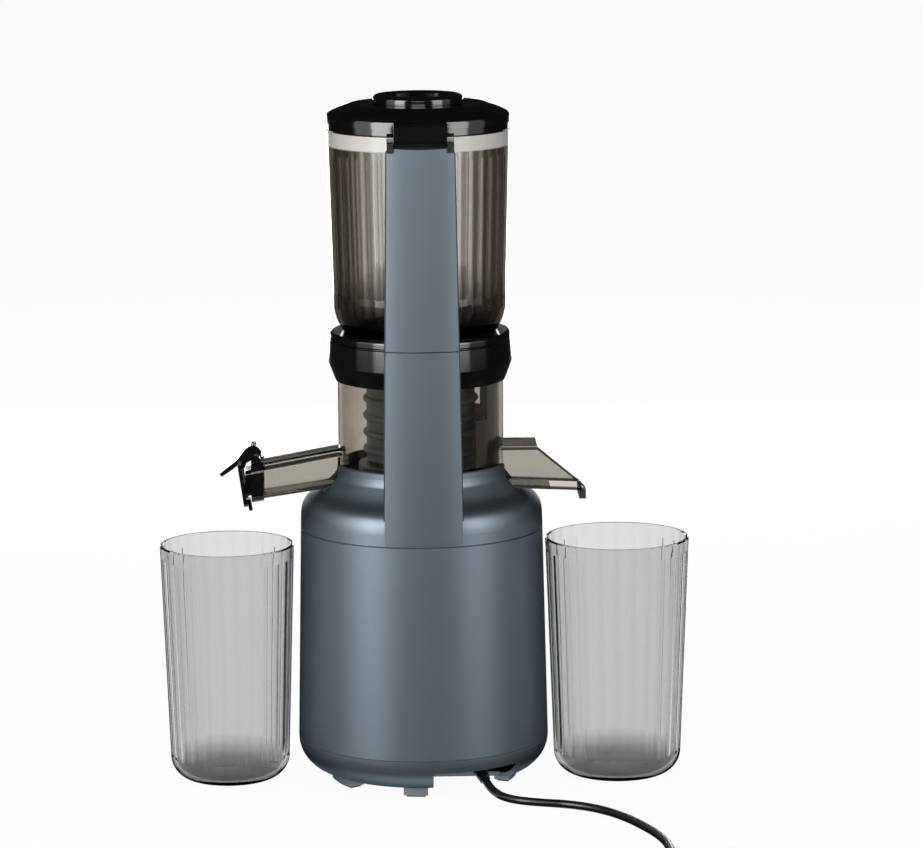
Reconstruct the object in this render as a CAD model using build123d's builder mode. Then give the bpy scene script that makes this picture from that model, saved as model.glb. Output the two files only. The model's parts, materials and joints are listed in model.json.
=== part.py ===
from build123d import *
from math import acos, atan2, cos, degrees, pi, radians, sin, sqrt, tan
import os

# Cold press juicer, in millimetres. Z is up and z = 0 is the worktop.
# +Y is the side with the column, the lid hinge and the cord; the control knob is on -Y.
# +X is the juice side, with its spout and cup; -X is the pulp side.

# ---------------------------------------------------------------- bowl, the size that drives the rest
bowl_radius = 55.2           # outside
bowl_wall = 2.4
collar_stand = 5.9           # how far the collar stands out past the bowl
collar_radius = bowl_radius + collar_stand

# ---------------------------------------------------------------- column
column_clearance = 3.9       # between the collar and the column, with the liner in it
column_depth = 17.6
column_inner_radius = collar_radius + column_clearance
column_outer_radius = column_inner_radius + column_depth
column_wall = 2.5
column_gap = 0.6             # between the part on the base and the part on the hopper
column_low_width = 51.5      # at the upper seam
column_high_width = 43.4     # at the top
liner_thickness = 3.2
liner_reveal = 0.7           # the liner stands out past the column's sides by this much

# ---------------------------------------------------------------- base
foot_height = 7.0            # underside of the base above the worktop
pad_thickness = 1.2          # rubber under each foot
column_stand = 1.4           # how far the column's back stands out past the base
base_taper = 3.1
base_high_radius = column_outer_radius - column_stand   # at the upper seam
base_low_radius = base_high_radius + base_taper         # at the lower seam
base_corner = 22.0           # rounding between the underside and the wall
cover_height = 22.5
lower_seam = foot_height + cover_height   # between bottom cover and housing
shell_wall = 3.0
seam_chamfer = 0.5
joint_lip = 5.0              # spigot that centres one shell in the next
lip_clearance = 0.2
foot_angles = (24, 84, 168.5, 240, 300)
foot_widths = (28, 15, 28, 28, 28)
foot_depth = 11.0
foot_outer_radius = base_low_radius - base_corner + 0.7
foot_inner_radius = foot_outer_radius - foot_depth
pad_inset = 1.5

# ---------------------------------------------------------------- motor
motor_rise = 35.0            # from the underside of the base to the motor
motor_height = 84.0
motor_low = foot_height + motor_rise
motor_high = motor_low + motor_height
motor_radius = 36.0
motor_wall = 2.0
stator_bore_radius = 21.0
rotor_radius = 20.0
rotor_shaft_radius = 4.0
bearing_radius = 11.0
bearing_width = 6.0

# ---------------------------------------------------------------- gearbox
flange_step = 3.0            # end flange of the motor under the gearbox
gearbox_height = 49.0
gearbox_wall = 4.5
gearbox_low = motor_high + flange_step
gearbox_top = gearbox_low + gearbox_height
stage_rise = 9.0             # from the gearbox's foot to its first stage
stage_1_low = gearbox_low + stage_rise
stage_width = 12.0
carrier_thickness = 4.0
carrier_radius = 25.5
carrier_gap = 1.0
pin_radius = 3.0
shaft_play = 0.06
cover_thickness = 3.0
drive_radius = 8.0
drive_flats = 11.6           # across the flats of the hexagon
damper_radius = 5.0
damper_height = 6.0
damper_circle_radius = 44.0
damper_count = 4
boss_height = 12.0           # bosses under the deck that carry the gearbox

# ---------------------------------------------------------------- neck of the base
deck_top = gearbox_top + cover_thickness + damper_height + boss_height   # the bowl stands on it
deck_thickness = 3.0
shoulder_height = 26.5       # from the upper seam to the deck
upper_seam = deck_top - shoulder_height   # between housing and upper shell
shoulder_flat_height = deck_top - 0.5     # where the shoulder turns inwards
neck_rise = 18.0
neck_height = deck_top + neck_rise        # rim of the opening that takes the bowl
neck_clearance = 0.6
neck_bore = bowl_radius + neck_clearance
neck_wall = 2.4

# ---------------------------------------------------------------- heights of the bowl
bowl_foot_gap = 0.3          # between the deck and the bowl
bowl_floor_rise = 9.0
bowl_floor = deck_top + bowl_floor_rise   # upper face of the floor
bowl_floor_thickness = 3.0
bowl_depth = 91.5
bowl_rim = bowl_floor + bowl_depth
collar_height = 27.0
collar_straight = 15.0       # the collar has its full radius over this height
collar_low = bowl_rim - collar_height
collar_wide = bowl_rim - collar_straight
collar_fit = 0.1
hub_bore = 8.4
hub_wall = 2.6
split_rise = 2.2
column_split = bowl_rim + split_rise      # lower part on the base, upper part on the hopper

# ---------------------------------------------------------------- hopper
flange_height = 5.2
flange_gap = 0.4
flange_low = bowl_rim + flange_gap
flange_top = flange_low + flange_height
spigot_depth = 8.0
spigot_radius = bowl_radius - bowl_wall - 0.4
spigot_wall = 3.2
drum_wall = 3.0
drum_low_radius = bowl_radius - 4.2
drum_waist_radius = bowl_radius + 2.7     # where the bottom curve ends
drum_top_radius = bowl_radius + 5.6
waist_rise = 26.9
drum_height = 134.1
drum_waist = flange_top + waist_rise
drum_top = flange_top + drum_height
flute_count = 40
flute_radius = 1.9
flute_low = drum_waist - 10.0
flute_high = drum_top - 15.2
column_top = drum_top - 3.9

# ---------------------------------------------------------------- lid and its hinge
lid_overhang = 0.4
lid_radius = drum_top_radius + lid_overhang
lid_gap = 1.0                # between the hopper's rim and the lid's ring
lid_ring_height = 4.4
lid_ring_low = drum_top + lid_gap         # underside of the lid's sealing ring
lid_seam = lid_ring_low + lid_ring_height   # between the ring and the dome
lid_edge_height = 2.4
lid_height = 11.4
lid_shoulder = lid_seam + lid_edge_height   # where the dome starts to round over
lid_top = lid_seam + lid_height
lid_wall = 3.0
lid_skirt_depth = 8.7
lid_skirt_low = lid_ring_low - lid_skirt_depth
lid_skirt_radius = drum_top_radius - drum_wall - 1.2
lid_skirt_wall = 2.2
cap_radius = 30.0
cap_height = 6.3
cap_top = lid_top + cap_height
cap_recess_radius = cap_radius - 8.5
cap_recess_depth = 4.0
hinge_inset = 4.3            # from the column's back to the hinge
hinge_y = column_outer_radius - hinge_inset
hinge_z = drum_top + 0.2
hinge_pin_radius = 1.6
knuckle_radius = 3.9
knuckle_width = 34.2
knuckle_height = 10.4        # above the hinge
knuckle_top = hinge_z + knuckle_height
knuckle_depth = 19.0
ear_inner = knuckle_width / 2 + 0.4       # half distance between the ears
ear_thickness = 4.2
ear_low = hinge_z - 7.8
ear_high = hinge_z + 4.6
top_relief = 2.0             # slope on the column's top, where the open lid's knuckle swings

# ---------------------------------------------------------------- juice spout (+X)
spout_width = 30.0
spout_reach = 56.8           # from the bowl's wall to the mouth
spout_mouth_x = bowl_radius + spout_reach
spout_root_x = bowl_radius - 5.2
spout_root_top = bowl_floor + 19.4
spout_root_low = bowl_floor - 6.4
spout_mouth_top = spout_root_top - 11.2
spout_mouth_low = spout_root_low - 9.0
spout_wall = 2.2
spout_corner = 6.0
flap_thickness = 2.4
flap_pivot_x = spout_mouth_x - 1.5
flap_pivot_z = spout_mouth_top + 3.3
flap_pivot_radius = 1.6
lever_half_width = 8.0

# ---------------------------------------------------------------- pulp chute (-X)
chute_width = 34.0
chute_reach = 53.6           # from the bowl's wall to the chute's end
chute_flat_length = 22.3     # the top is flat this far, then slopes
chute_open_length = 22.8     # the last stretch is open below
chute_end = bowl_radius + chute_reach
chute_flat_end = bowl_radius + chute_flat_length
chute_floor_end = chute_end - chute_open_length
chute_top = bowl_floor + 20.0
chute_end_height = chute_top - 23.0
chute_low = bowl_floor - 7.8              # underside beside the bowl
chute_low_end = chute_low - 2.6           # underside at the end
chute_wall = 2.0
drip_lip_depth = 6.0
drip_lip_low = chute_low_end - drip_lip_depth

# ---------------------------------------------------------------- strainer and wiper
strainer_radius = 36.0
strainer_wall = 2.0
strainer_rise = 10.5
strainer_low = bowl_floor + strainer_rise
hoop_heights = tuple(strainer_low + rise for rise in (7.1, 18.3, 29.5, 40.9))
hoop_stand = 2.6
window_count = 8
mesh_thickness = 0.4
ledge_height = collar_wide - 0.1          # ledge in the bowl that carries the strainer's flange
ledge_width = 1.6
flange_thickness = 2.0
pulp_tube_radius = 7.4
pulp_tube_wall = 1.4
wiper_clearance = 4.4
wiper_wall = 3.6
wiper_inner = strainer_radius + wiper_clearance
wiper_outer = wiper_inner + wiper_wall
wiper_top = ledge_height - 2.4

# ---------------------------------------------------------------- gears
brush_module = 1.5
brush_sun_teeth = 20
brush_pinion_teeth = 14
brush_ring_teeth = 48
brush_gear_low = bowl_floor + 1.0
brush_gear_height = 6.5
pinion_angle = 60.0          # where the pinion stands round the bowl
stage_module = 1.25
sun_teeth = 12
planet_teeth = 18
ring_teeth = 48
planet_count = 3
tooth_play = 0.10            # thinning of each flank
pressure_angle = 20.0
addendum = 0.85              # in modules
dedendum = 1.2
drive_rise = 40.0            # how far the drive shaft stands up in the bowl
drive_top = bowl_floor + drive_rise

# ---------------------------------------------------------------- knob
knob_radius = 17.0
knob_height = lower_seam + 75.5
knob_stand = 3.6             # how far the knob stands out of the wall
knob_shaft_radius = 3.0

# ---------------------------------------------------------------- cups
cup_wall = 2.2
cup_base = 3.0
cup_corner = 16.0
cup_flutes = 26
cup_flute_depth = 0.7
juice_cup_rim = 45.1
juice_cup_low = 40.2
juice_cup_height = 161.0
juice_cup_gap = 6.5          # between the base and the cup's foot
juice_cup_x = base_low_radius + juice_cup_gap + juice_cup_low
pulp_cup_rim = 48.4
pulp_cup_low = 43.0
pulp_cup_height = 163.0
pulp_cup_gap = 4.1
pulp_cup_x = -(base_low_radius + pulp_cup_gap + pulp_cup_low)

# ---------------------------------------------------------------- cord
cord_diameter = 5.5
gland_length = 26.0
gland_root_radius = 5.0
gland_flange_radius = 6.0
gland_flange = 1.8
gland_pocket = 3.0           # depth of the socket in which the cord starts
gland_tilt = (-0.25, 0.92, -0.30)   # the cord leaves the base in this direction
cord_start = (-39.2, 52.5, 10.1)
# room under the base for the cord: plan of the recess, its roof and its rounded left side
recess_end = 39.0
recess_plan = ((-22.0, recess_end), (-48.5, recess_end), (-65.0, 62.0), (-65.0, 95.0), (-22.0, 95.0))
recess_roof = 20.0
recess_round = (14.0, 9.0)
coil_x, coil_y = -186.0, 266.0
coil_mean_radius = 31.0
coil_turns_wide = 2.4
coil_layers = 2

fine = 0.2                   # play between pieces that touch on one body
os.makedirs("parts", exist_ok=True)


def save(builder, name):
    """Label a finished piece and write it to its own file."""
    builder.part.label = name
    export_step(builder.part, "parts/" + name + ".step")


def base_radius(z):
    """Outer radius of the tapered housing at height z."""
    share = (z - lower_seam) / (upper_seam - lower_seam)
    return base_low_radius + share * (base_high_radius - base_low_radius)


def column_width(z):
    """Width of the column at height z."""
    share = (z - upper_seam) / (column_top - upper_seam)
    return column_low_width + share * (column_high_width - column_low_width)


def drum_radius(z):
    """Outer radius of the hopper wall above its waist."""
    share = (z - drum_waist) / (drum_top - drum_waist)
    return drum_waist_radius + share * (drum_top_radius - drum_waist_radius)


def polar(radius, angle, z=0.0):
    """A point at a radius and an angle in degrees from +X."""
    return (radius * cos(radians(angle)), radius * sin(radians(angle)), z)


def cylinder(radius, low, high, x=0.0, y=0.0):
    """An upright cylinder between two heights, as a private solid."""
    upright = (Align.CENTER, Align.CENTER, Align.MIN)
    return Pos(x, y, low) * Cylinder(radius, high - low, align=upright, mode=Mode.PRIVATE)


def ring(outer, inner, low, high):
    """A plain ring between two heights, as a private solid."""
    return cylinder(outer, low, high) - cylinder(inner, low - 1, high + 1)


# ================================================================ gears
def involute(angle):
    """The involute function of an angle in radians."""
    return tan(angle) - angle


def tooth_face(module, teeth, tip, root, play):
    """One tooth, centred on +X, between a root and a tip radius; play thins each flank."""
    pitch = module * teeth / 2
    base = pitch * cos(radians(pressure_angle))
    middle_angle = pi / (2 * teeth) - play / pitch + involute(radians(pressure_angle))

    def flank(radius):
        turn = middle_angle - involute(acos(min(1.0, base / radius)))
        return radius * cos(turn), radius * sin(turn)

    low = max(root, base)
    inner, middle, outer = flank(low), flank((low + tip) / 2), flank(tip)
    foot = (root - 0.4) * inner[0] / low, (root - 0.4) * inner[1] / low
    with BuildSketch() as tooth:
        with BuildLine():
            ThreePointArc(inner, middle, outer)
            Line(outer, (outer[0], -outer[1]))
            ThreePointArc((outer[0], -outer[1]), (middle[0], -middle[1]), (inner[0], -inner[1]))
            Polyline((inner[0], -inner[1]), (foot[0], -foot[1]), foot, inner)
        make_face()
    return tooth.sketch


def outer_gear(module, teeth):
    """Outline of a gear with outside teeth, one of them on +X."""
    pitch = module * teeth / 2
    tip, root = pitch + addendum * module, pitch - dedendum * module
    tooth = tooth_face(module, teeth, tip, root, tooth_play)
    with BuildSketch() as gear:
        Circle(root)
        with PolarLocations(0, teeth):
            add(tooth)
    return gear.sketch


def inner_gear_space(module, teeth):
    """Space inside a ring gear, with the land between two spaces on +X."""
    pitch = module * teeth / 2
    tip, root = pitch + dedendum * module, pitch - addendum * module
    space = tooth_face(module, teeth, tip, root, -tooth_play)
    with BuildSketch() as gear:
        Circle(root)
        with PolarLocations(0, teeth, start_angle=180 / teeth):
            add(space)
    return gear.sketch


# ================================================================ bottom cover and feet
cover_centre = base_low_radius - base_corner
corner_height = foot_height + base_corner
with BuildPart() as bottom_cover:
    with BuildSketch(Plane.XZ):
        with BuildLine():
            Line((0, foot_height), (cover_centre, foot_height))
            ThreePointArc(
                (cover_centre, foot_height),
                (cover_centre + base_corner * sin(pi / 4), corner_height - base_corner * cos(pi / 4)),
                (base_low_radius, corner_height),
            )
            Polyline(
                (base_low_radius, corner_height),
                (base_low_radius - seam_chamfer, lower_seam),
                (0, lower_seam),
                (0, foot_height),
            )
        make_face()
    revolve(axis=Axis.Z)
    cover_form = bottom_cover.part
    top_face = bottom_cover.faces().sort_by(Axis.Z)[-1]
    offset(amount=-shell_wall, openings=top_face)
    # lip that centres the housing wall
    add(ring(base_low_radius - shell_wall - lip_clearance, base_low_radius - 2 * shell_wall,
             lower_seam - joint_lip, lower_seam + joint_lip))
    add(ring(base_low_radius - shell_wall + lip_clearance, base_low_radius - 2 * shell_wall,
             lower_seam - joint_lip, lower_seam - 1))
    for angle, width in zip(foot_angles, foot_widths):
        half = degrees(width / (foot_inner_radius + foot_outer_radius))
        with BuildSketch(Plane.XY.offset(pad_thickness)):
            with BuildLine():
                CenterArc((0, 0), foot_outer_radius, angle - half, 2 * half)
                CenterArc((0, 0), foot_inner_radius, angle - half, 2 * half)
                for side in (-half, half):
                    Line(polar(foot_inner_radius, angle + side)[:2],
                         polar(foot_outer_radius, angle + side)[:2])
            make_face()
        extrude(amount=foot_height - pad_thickness + 1)
    # recess under the base where the cord comes out, with walls of its own
    with BuildSketch(Plane.XY.offset(foot_height)) as recess_walls:
        Polygon(*recess_plan, align=None)
        with Locations((recess_plan[0][0], recess_end)):
            Rectangle(recess_round[0], recess_plan[-1][1] - recess_end, align=(Align.MIN, Align.MIN))
        offset(amount=shell_wall, kind=Kind.INTERSECTION)
    add(extrude(recess_walls.sketch, recess_roof + shell_wall - foot_height, mode=Mode.PRIVATE) & cover_form)
    with BuildSketch(Plane.XY.offset(foot_height - 1)):
        Polygon(*recess_plan, align=None)
    extrude(amount=recess_roof - foot_height + 1, mode=Mode.SUBTRACT)
    with BuildSketch(Plane.XZ.offset(-recess_end)):
        with Locations((recess_plan[0][0], foot_height - 1)):
            Rectangle(recess_round[0], recess_round[1] + 1, align=(Align.MIN, Align.MIN))
        with Locations((recess_plan[0][0] + recess_round[0], foot_height + recess_round[1])):
            Ellipse(*recess_round, mode=Mode.SUBTRACT)
    extrude(amount=-60, mode=Mode.SUBTRACT)
    # hole for the cord's gland
    gland_end = Vector(*cord_start) + gland_pocket * Vector(*gland_tilt).normalized()
    gland_plane = Plane(origin=gland_end, z_dir=-Vector(*gland_tilt))
    with BuildSketch(gland_plane):
        Circle(gland_root_radius + fine / 4)
    extrude(amount=gland_length, mode=Mode.SUBTRACT)
    # air slots in the underside
    slot_length, slot_width, slot_count = 18.0, 3.0, 7
    with BuildSketch(Plane.XY.offset(foot_height - 1)):
        with PolarLocations(34, slot_count, start_angle=194, angular_range=236, endpoint=True):
            SlotOverall(slot_length, slot_width)
    extrude(amount=shell_wall + 2, mode=Mode.SUBTRACT)
save(bottom_cover, "bottom_cover")

with BuildPart() as foot_pads:
    for angle, width in zip(foot_angles, foot_widths):
        half = degrees((width - 2 * pad_inset) / (foot_inner_radius + foot_outer_radius))
        inner, outer = foot_inner_radius + pad_inset, foot_outer_radius - pad_inset
        with BuildSketch():
            with BuildLine():
                CenterArc((0, 0), outer, angle - half, 2 * half)
                CenterArc((0, 0), inner, angle - half, 2 * half)
                for side in (-half, half):
                    Line(polar(inner, angle + side)[:2], polar(outer, angle + side)[:2])
            make_face()
        extrude(amount=pad_thickness)
save(foot_pads, "foot_pads")

# ================================================================ housing wall
with BuildPart() as housing_wall:
    with BuildSketch(Plane.XZ):
        with BuildLine():
            Polyline(
                (base_low_radius - shell_wall, lower_seam),
                (base_low_radius - seam_chamfer, lower_seam),
                (base_low_radius, lower_seam + seam_chamfer),
                (base_high_radius, upper_seam - seam_chamfer),
                (base_high_radius - seam_chamfer, upper_seam),
                (base_high_radius - shell_wall, upper_seam),
                close=True,
            )
        make_face()
    revolve(axis=Axis.Z)
    # hole for the shaft of the control knob
    knob_face_y = -base_radius(knob_height) - knob_stand
    knob_plane = Plane(origin=(0, knob_face_y, knob_height), x_dir=(1, 0, 0), z_dir=(0, -1, 0))
    with BuildSketch(knob_plane):
        Circle(knob_shaft_radius + 1)
    extrude(amount=-30, mode=Mode.SUBTRACT)
save(housing_wall, "housing_wall")

# ================================================================ upper shell and lower column
def column_outline(low, high, grow):
    """Front view of the column between two heights, wider by grow on each side."""
    low_half = column_width(low) / 2 + grow
    high_half = column_width(high) / 2 + grow
    with BuildSketch(Plane.XZ) as outline:
        Polygon((-low_half, low), (low_half, low), (high_half, high), (-high_half, high), align=None)
    return outline.sketch


def column_block(low, high, inner, outer, grow):
    """The column's form between two radii, as a private solid."""
    front = extrude(column_outline(low, high, grow), amount=-outer - 5, mode=Mode.PRIVATE)
    return front & ring(outer, inner, low, high)


def spout_outline(grow):
    """Side view of the juice spout, larger by grow below and at the sides."""
    return [
        (spout_root_x - 6, spout_root_low + 1 - grow),
        (spout_mouth_x, spout_mouth_low - grow),
        (spout_mouth_x, neck_height + 20),
        (spout_root_x - 6, neck_height + 20),
    ]


def chute_outline(grow):
    """Side view of the room that the pulp chute needs, larger by grow below."""
    return [
        (-spout_root_x + 6, chute_low - grow),
        (-chute_end, chute_low_end - grow),
        (-chute_end, neck_height + 20),
        (-spout_root_x + 6, neck_height + 20),
    ]


spout_room = 1.2
neck_outer = neck_bore + neck_wall
shoulder_inner = base_high_radius - shell_wall
with BuildPart() as upper_shell:
    with BuildSketch(Plane.XZ):
        with BuildLine() as contour:
            start = Polyline(
                (shoulder_inner, upper_seam),
                (base_high_radius - seam_chamfer, upper_seam),
                (base_high_radius, upper_seam + seam_chamfer),
                (base_high_radius - 0.2, upper_seam + 8),
            )
            dome = Spline(
                (base_high_radius - 0.2, upper_seam + 8),
                (base_high_radius - 4.2, upper_seam + 20),
                (base_high_radius - 14.5, shoulder_flat_height),
                (neck_outer + 2.0, shoulder_flat_height + 7.5),
                (neck_outer, shoulder_flat_height + 14),
                tangents=((-0.03, 1), (-0.05, 1)),
            )
            Polyline(
                (neck_outer, shoulder_flat_height + 14),
                (neck_outer, neck_height - 0.8),
                (neck_outer - 0.8, neck_height),
                (neck_bore, neck_height),
                (neck_bore, deck_top),
                (0, deck_top),
                (0, deck_top - deck_thickness),
                (base_high_radius - 20, deck_top - deck_thickness),
                (shoulder_inner - 6, upper_seam + 18),
                (shoulder_inner - 1, upper_seam + 8),
                (shoulder_inner, upper_seam),
            )
        make_face()
    revolve(axis=Axis.Z)
    # lip that centres the shell in the housing wall
    add(ring(shoulder_inner - lip_clearance, shoulder_inner - shell_wall,
             upper_seam - joint_lip, upper_seam + 4))
    # column, hollow from its inner side
    column_low = upper_seam + 2
    add(column_block(column_low, column_split, column_inner_radius, column_outer_radius, 0))
    hollow = column_block(neck_height + 4, column_split - column_wall, column_inner_radius - 5,
                          column_outer_radius - column_wall, -column_wall)
    add(hollow, mode=Mode.SUBTRACT)
    # room for the bowl, the spout and the chute
    add(cylinder(neck_bore, deck_top, neck_height + 1), mode=Mode.SUBTRACT)
    with BuildSketch(Plane.XZ):
        Polygon(*spout_outline(spout_room), align=None)
    extrude(amount=spout_width / 2 + spout_room, both=True, mode=Mode.SUBTRACT)
    with BuildSketch(Plane.XZ):
        Polygon(*chute_outline(spout_room), align=None)
    extrude(amount=chute_width / 2 + spout_room, both=True, mode=Mode.SUBTRACT)
    # opening for the drive shaft
    add(cylinder(drive_radius + 3, deck_top - 10, deck_top + 1), mode=Mode.SUBTRACT)
    # bosses that carry the gearbox
    for index in range(damper_count):
        boss_x, boss_y, _ = polar(damper_circle_radius, 45 + 360 / damper_count * index)
        add(cylinder(damper_radius, deck_top - boss_height, deck_top - 1, boss_x, boss_y))
save(upper_shell, "upper_shell")

with BuildPart() as lower_column_liner:
    add(column_block(neck_height + 4, column_split, column_inner_radius - liner_thickness + fine,
                     column_inner_radius - fine, liner_reveal))
save(lower_column_liner, "lower_column_liner")

# ================================================================ bowl
bowl_low = deck_top + bowl_foot_gap
bowl_inner = bowl_radius - bowl_wall
floor_low = bowl_floor - bowl_floor_thickness
hub_top = brush_gear_low - 0.6
tunnel_half = 10.0
pulp_hole_x = -(brush_module * (brush_sun_teeth + brush_pinion_teeth) / 2)


def side_channel(outline, half_width):
    """A private prism of a side view, centred on the XZ plane."""
    with BuildSketch(Plane.XZ) as view:
        Polygon(*outline, align=None)
    return extrude(view.sketch, amount=half_width, both=True, mode=Mode.PRIVATE)


spout_window = [
    (bowl_inner - 6, bowl_floor),
    (bowl_radius + 4, bowl_floor - 1.5),
    (bowl_radius + 4, spout_root_top - 4.5),
    (bowl_inner - 6, spout_root_top - 3.5),
]
tunnel_outer = [
    (pulp_hole_x + pulp_tube_radius + 3, floor_low + 0.5),
    (pulp_hole_x + pulp_tube_radius + 3, bowl_low),
    (-bowl_radius + 1, bowl_low),
    (-bowl_radius + 1, floor_low + 0.5),
]
tunnel_inner = [
    (pulp_hole_x + pulp_tube_radius + 1, bowl_floor - 1.5),
    (pulp_hole_x + pulp_tube_radius + 1, bowl_low + 2.0),
    (-bowl_radius - 3, bowl_low + 2.0),
    (-bowl_radius - 3, bowl_floor - 1.5),
]
with BuildPart() as bowl:
    with BuildSketch(Plane.XZ):
        with BuildLine():
            Polyline(
                (hub_bore + hub_wall, floor_low),
                (hub_bore + hub_wall, bowl_low),
                (hub_bore, bowl_low),
                (hub_bore, hub_top),
                (hub_bore + hub_wall, hub_top),
                (hub_bore + hub_wall, bowl_floor),
                (bowl_inner, bowl_floor),
                (bowl_inner, ledge_height - 4),
                (bowl_inner - ledge_width, ledge_height - 2),
                (bowl_inner - ledge_width, ledge_height),
                (bowl_inner, ledge_height),
                (bowl_inner, bowl_rim),
                (bowl_radius, bowl_rim),
                (bowl_radius, bowl_low),
                (bowl_inner, bowl_low),
                (bowl_inner, floor_low),
                close=True,
            )
        make_face()
    revolve(axis=Axis.Z)
    # pulp tunnel under the floor
    add(side_channel(tunnel_outer, tunnel_half) & cylinder(bowl_radius, bowl_low, bowl_floor))
    add(side_channel(tunnel_inner, tunnel_half - 1.6), mode=Mode.SUBTRACT)
    add(cylinder(pulp_tube_radius - pulp_tube_wall, bowl_floor - 4, bowl_floor + 1, pulp_hole_x),
        mode=Mode.SUBTRACT)
    # juice window
    add(side_channel(spout_window, spout_width / 2 - spout_wall - 1), mode=Mode.SUBTRACT)
    # pin for the brush pinion
    pinion_x, pinion_y, _ = polar(-pulp_hole_x, pinion_angle)
    add(cylinder(pin_radius, bowl_floor - 1, brush_gear_low + brush_gear_height + 0.6, pinion_x, pinion_y))
save(bowl, "bowl")

with BuildPart() as bowl_collar:
    with BuildSketch(Plane.XZ):
        with BuildLine():
            Line((bowl_radius + collar_fit, collar_low), (bowl_radius + 1.4, collar_low))
            ThreePointArc((bowl_radius + 1.4, collar_low), (collar_radius - 1.9, collar_wide - 5.2),
                          (collar_radius, collar_wide))
            Polyline(
                (collar_radius, collar_wide),
                (collar_radius, bowl_rim - 1),
                (collar_radius - 0.7, bowl_rim - 0.3),
                (collar_radius - 0.7, bowl_rim),
                (bowl_radius + collar_fit, bowl_rim),
                (bowl_radius + collar_fit, collar_low),
            )
        make_face()
    revolve(axis=Axis.Z)
save(bowl_collar, "bowl_collar")

with BuildPart() as bowl_shaft_seal:
    add(ring(hub_bore - fine / 4, drive_radius + shaft_play, bowl_low + 1, hub_top - 1))
save(bowl_shaft_seal, "bowl_shaft_seal")


# ---------------------------------------------------------------- juice spout
def spout_plane(x):
    """Section plane of the spout at a distance x from the axis."""
    share = (x - spout_root_x) / (spout_mouth_x - spout_root_x)
    top = spout_root_top + share * (spout_mouth_top - spout_root_top)
    low = spout_root_low + share * (spout_mouth_low - spout_root_low)
    return Plane(origin=(x, 0, (top + low) / 2), x_dir=(0, 1, 0), z_dir=(1, 0, 0)), top - low


def spout_form(start, end, shrink):
    """The spout's tapering form between two distances, as a private solid."""
    sections = []
    for x in (start, end):
        plane, height = spout_plane(x)
        with BuildSketch(plane) as section:
            RectangleRounded(spout_width - 2 * shrink, height - 2 * shrink, spout_corner - shrink)
        sections.append(section.sketch)
    return loft(sections, mode=Mode.PRIVATE)


with BuildPart() as juice_spout:
    add(spout_form(spout_root_x, spout_mouth_x, 0))
    add(spout_form(spout_root_x - 1, spout_mouth_x + 1, spout_wall), mode=Mode.SUBTRACT)
    add(cylinder(bowl_radius + fine, bowl_low - 5, bowl_rim), mode=Mode.SUBTRACT)
save(juice_spout, "juice_spout")

mouth_ring_length = 6.5
ear_round = 3.2
ear_half = 1.4
with BuildPart() as spout_mouth_ring:
    add(spout_form(spout_mouth_x - mouth_ring_length, spout_mouth_x + 1.6, -1.5))
    add(spout_form(spout_mouth_x - mouth_ring_length - 1, spout_mouth_x + 3, -fine), mode=Mode.SUBTRACT)
    # room for the lever
    add(side_channel([(spout_mouth_x - 8, spout_mouth_top - 0.6), (spout_mouth_x + 3, spout_mouth_top - 3.4),
                      (spout_mouth_x + 3, flap_pivot_z + 6), (spout_mouth_x - 8, flap_pivot_z + 6)],
                     lever_half_width + 1), mode=Mode.SUBTRACT)
    # ears for the flap's pivot
    for side in (-1, 1):
        with BuildSketch(Plane.XZ.offset(side * (lever_half_width + 0.6 + ear_half))):
            ear_back, ear_front = flap_pivot_x - ear_round, flap_pivot_x + ear_round
            with BuildLine():
                Polyline((ear_front, flap_pivot_z), (ear_front, spout_mouth_top + 0.6),
                         (ear_back, spout_mouth_top + 1.2), (ear_back, flap_pivot_z))
                ThreePointArc((ear_back, flap_pivot_z), (flap_pivot_x, flap_pivot_z + ear_round),
                              (ear_front, flap_pivot_z))
            make_face()
        extrude(amount=ear_half, both=True)
    with BuildSketch(Plane.XZ):
        with Locations((flap_pivot_x, flap_pivot_z)):
            Circle(flap_pivot_radius + shaft_play)
    extrude(amount=spout_width, both=True, mode=Mode.SUBTRACT)
save(spout_mouth_ring, "spout_mouth_ring")

flap_low, flap_high = spout_mouth_low - 3.9, spout_mouth_top + 0.6
# side view of the lever, measured from the pivot
lever_back = ((24.4, -9.1), (17.3, -3.7), (12.2, 0.7), (8.5, 5.5), (5.4, 8.5), (1.7, 9.6), (-1.3, 8.7),
              (-3.5, 5.7), (-2.6, 2.2))
lever_hook = ((-2.6, 2.2), (-1.1, 2.5), (-0.3, 5.1), (2.1, 4.5), (2.1, 0.1), (6.3, -2.3), (7.7, -5.9),
              (10.1, -5.7), (11.1, -2.9))
lever_belly = ((11.1, -2.9), (17.7, -7.9), (23.3, -11.5))


def from_pivot(offsets):
    """Points given by their offsets from the flap's pivot."""
    return [(flap_pivot_x + x, flap_pivot_z + z) for x, z in offsets]


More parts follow.
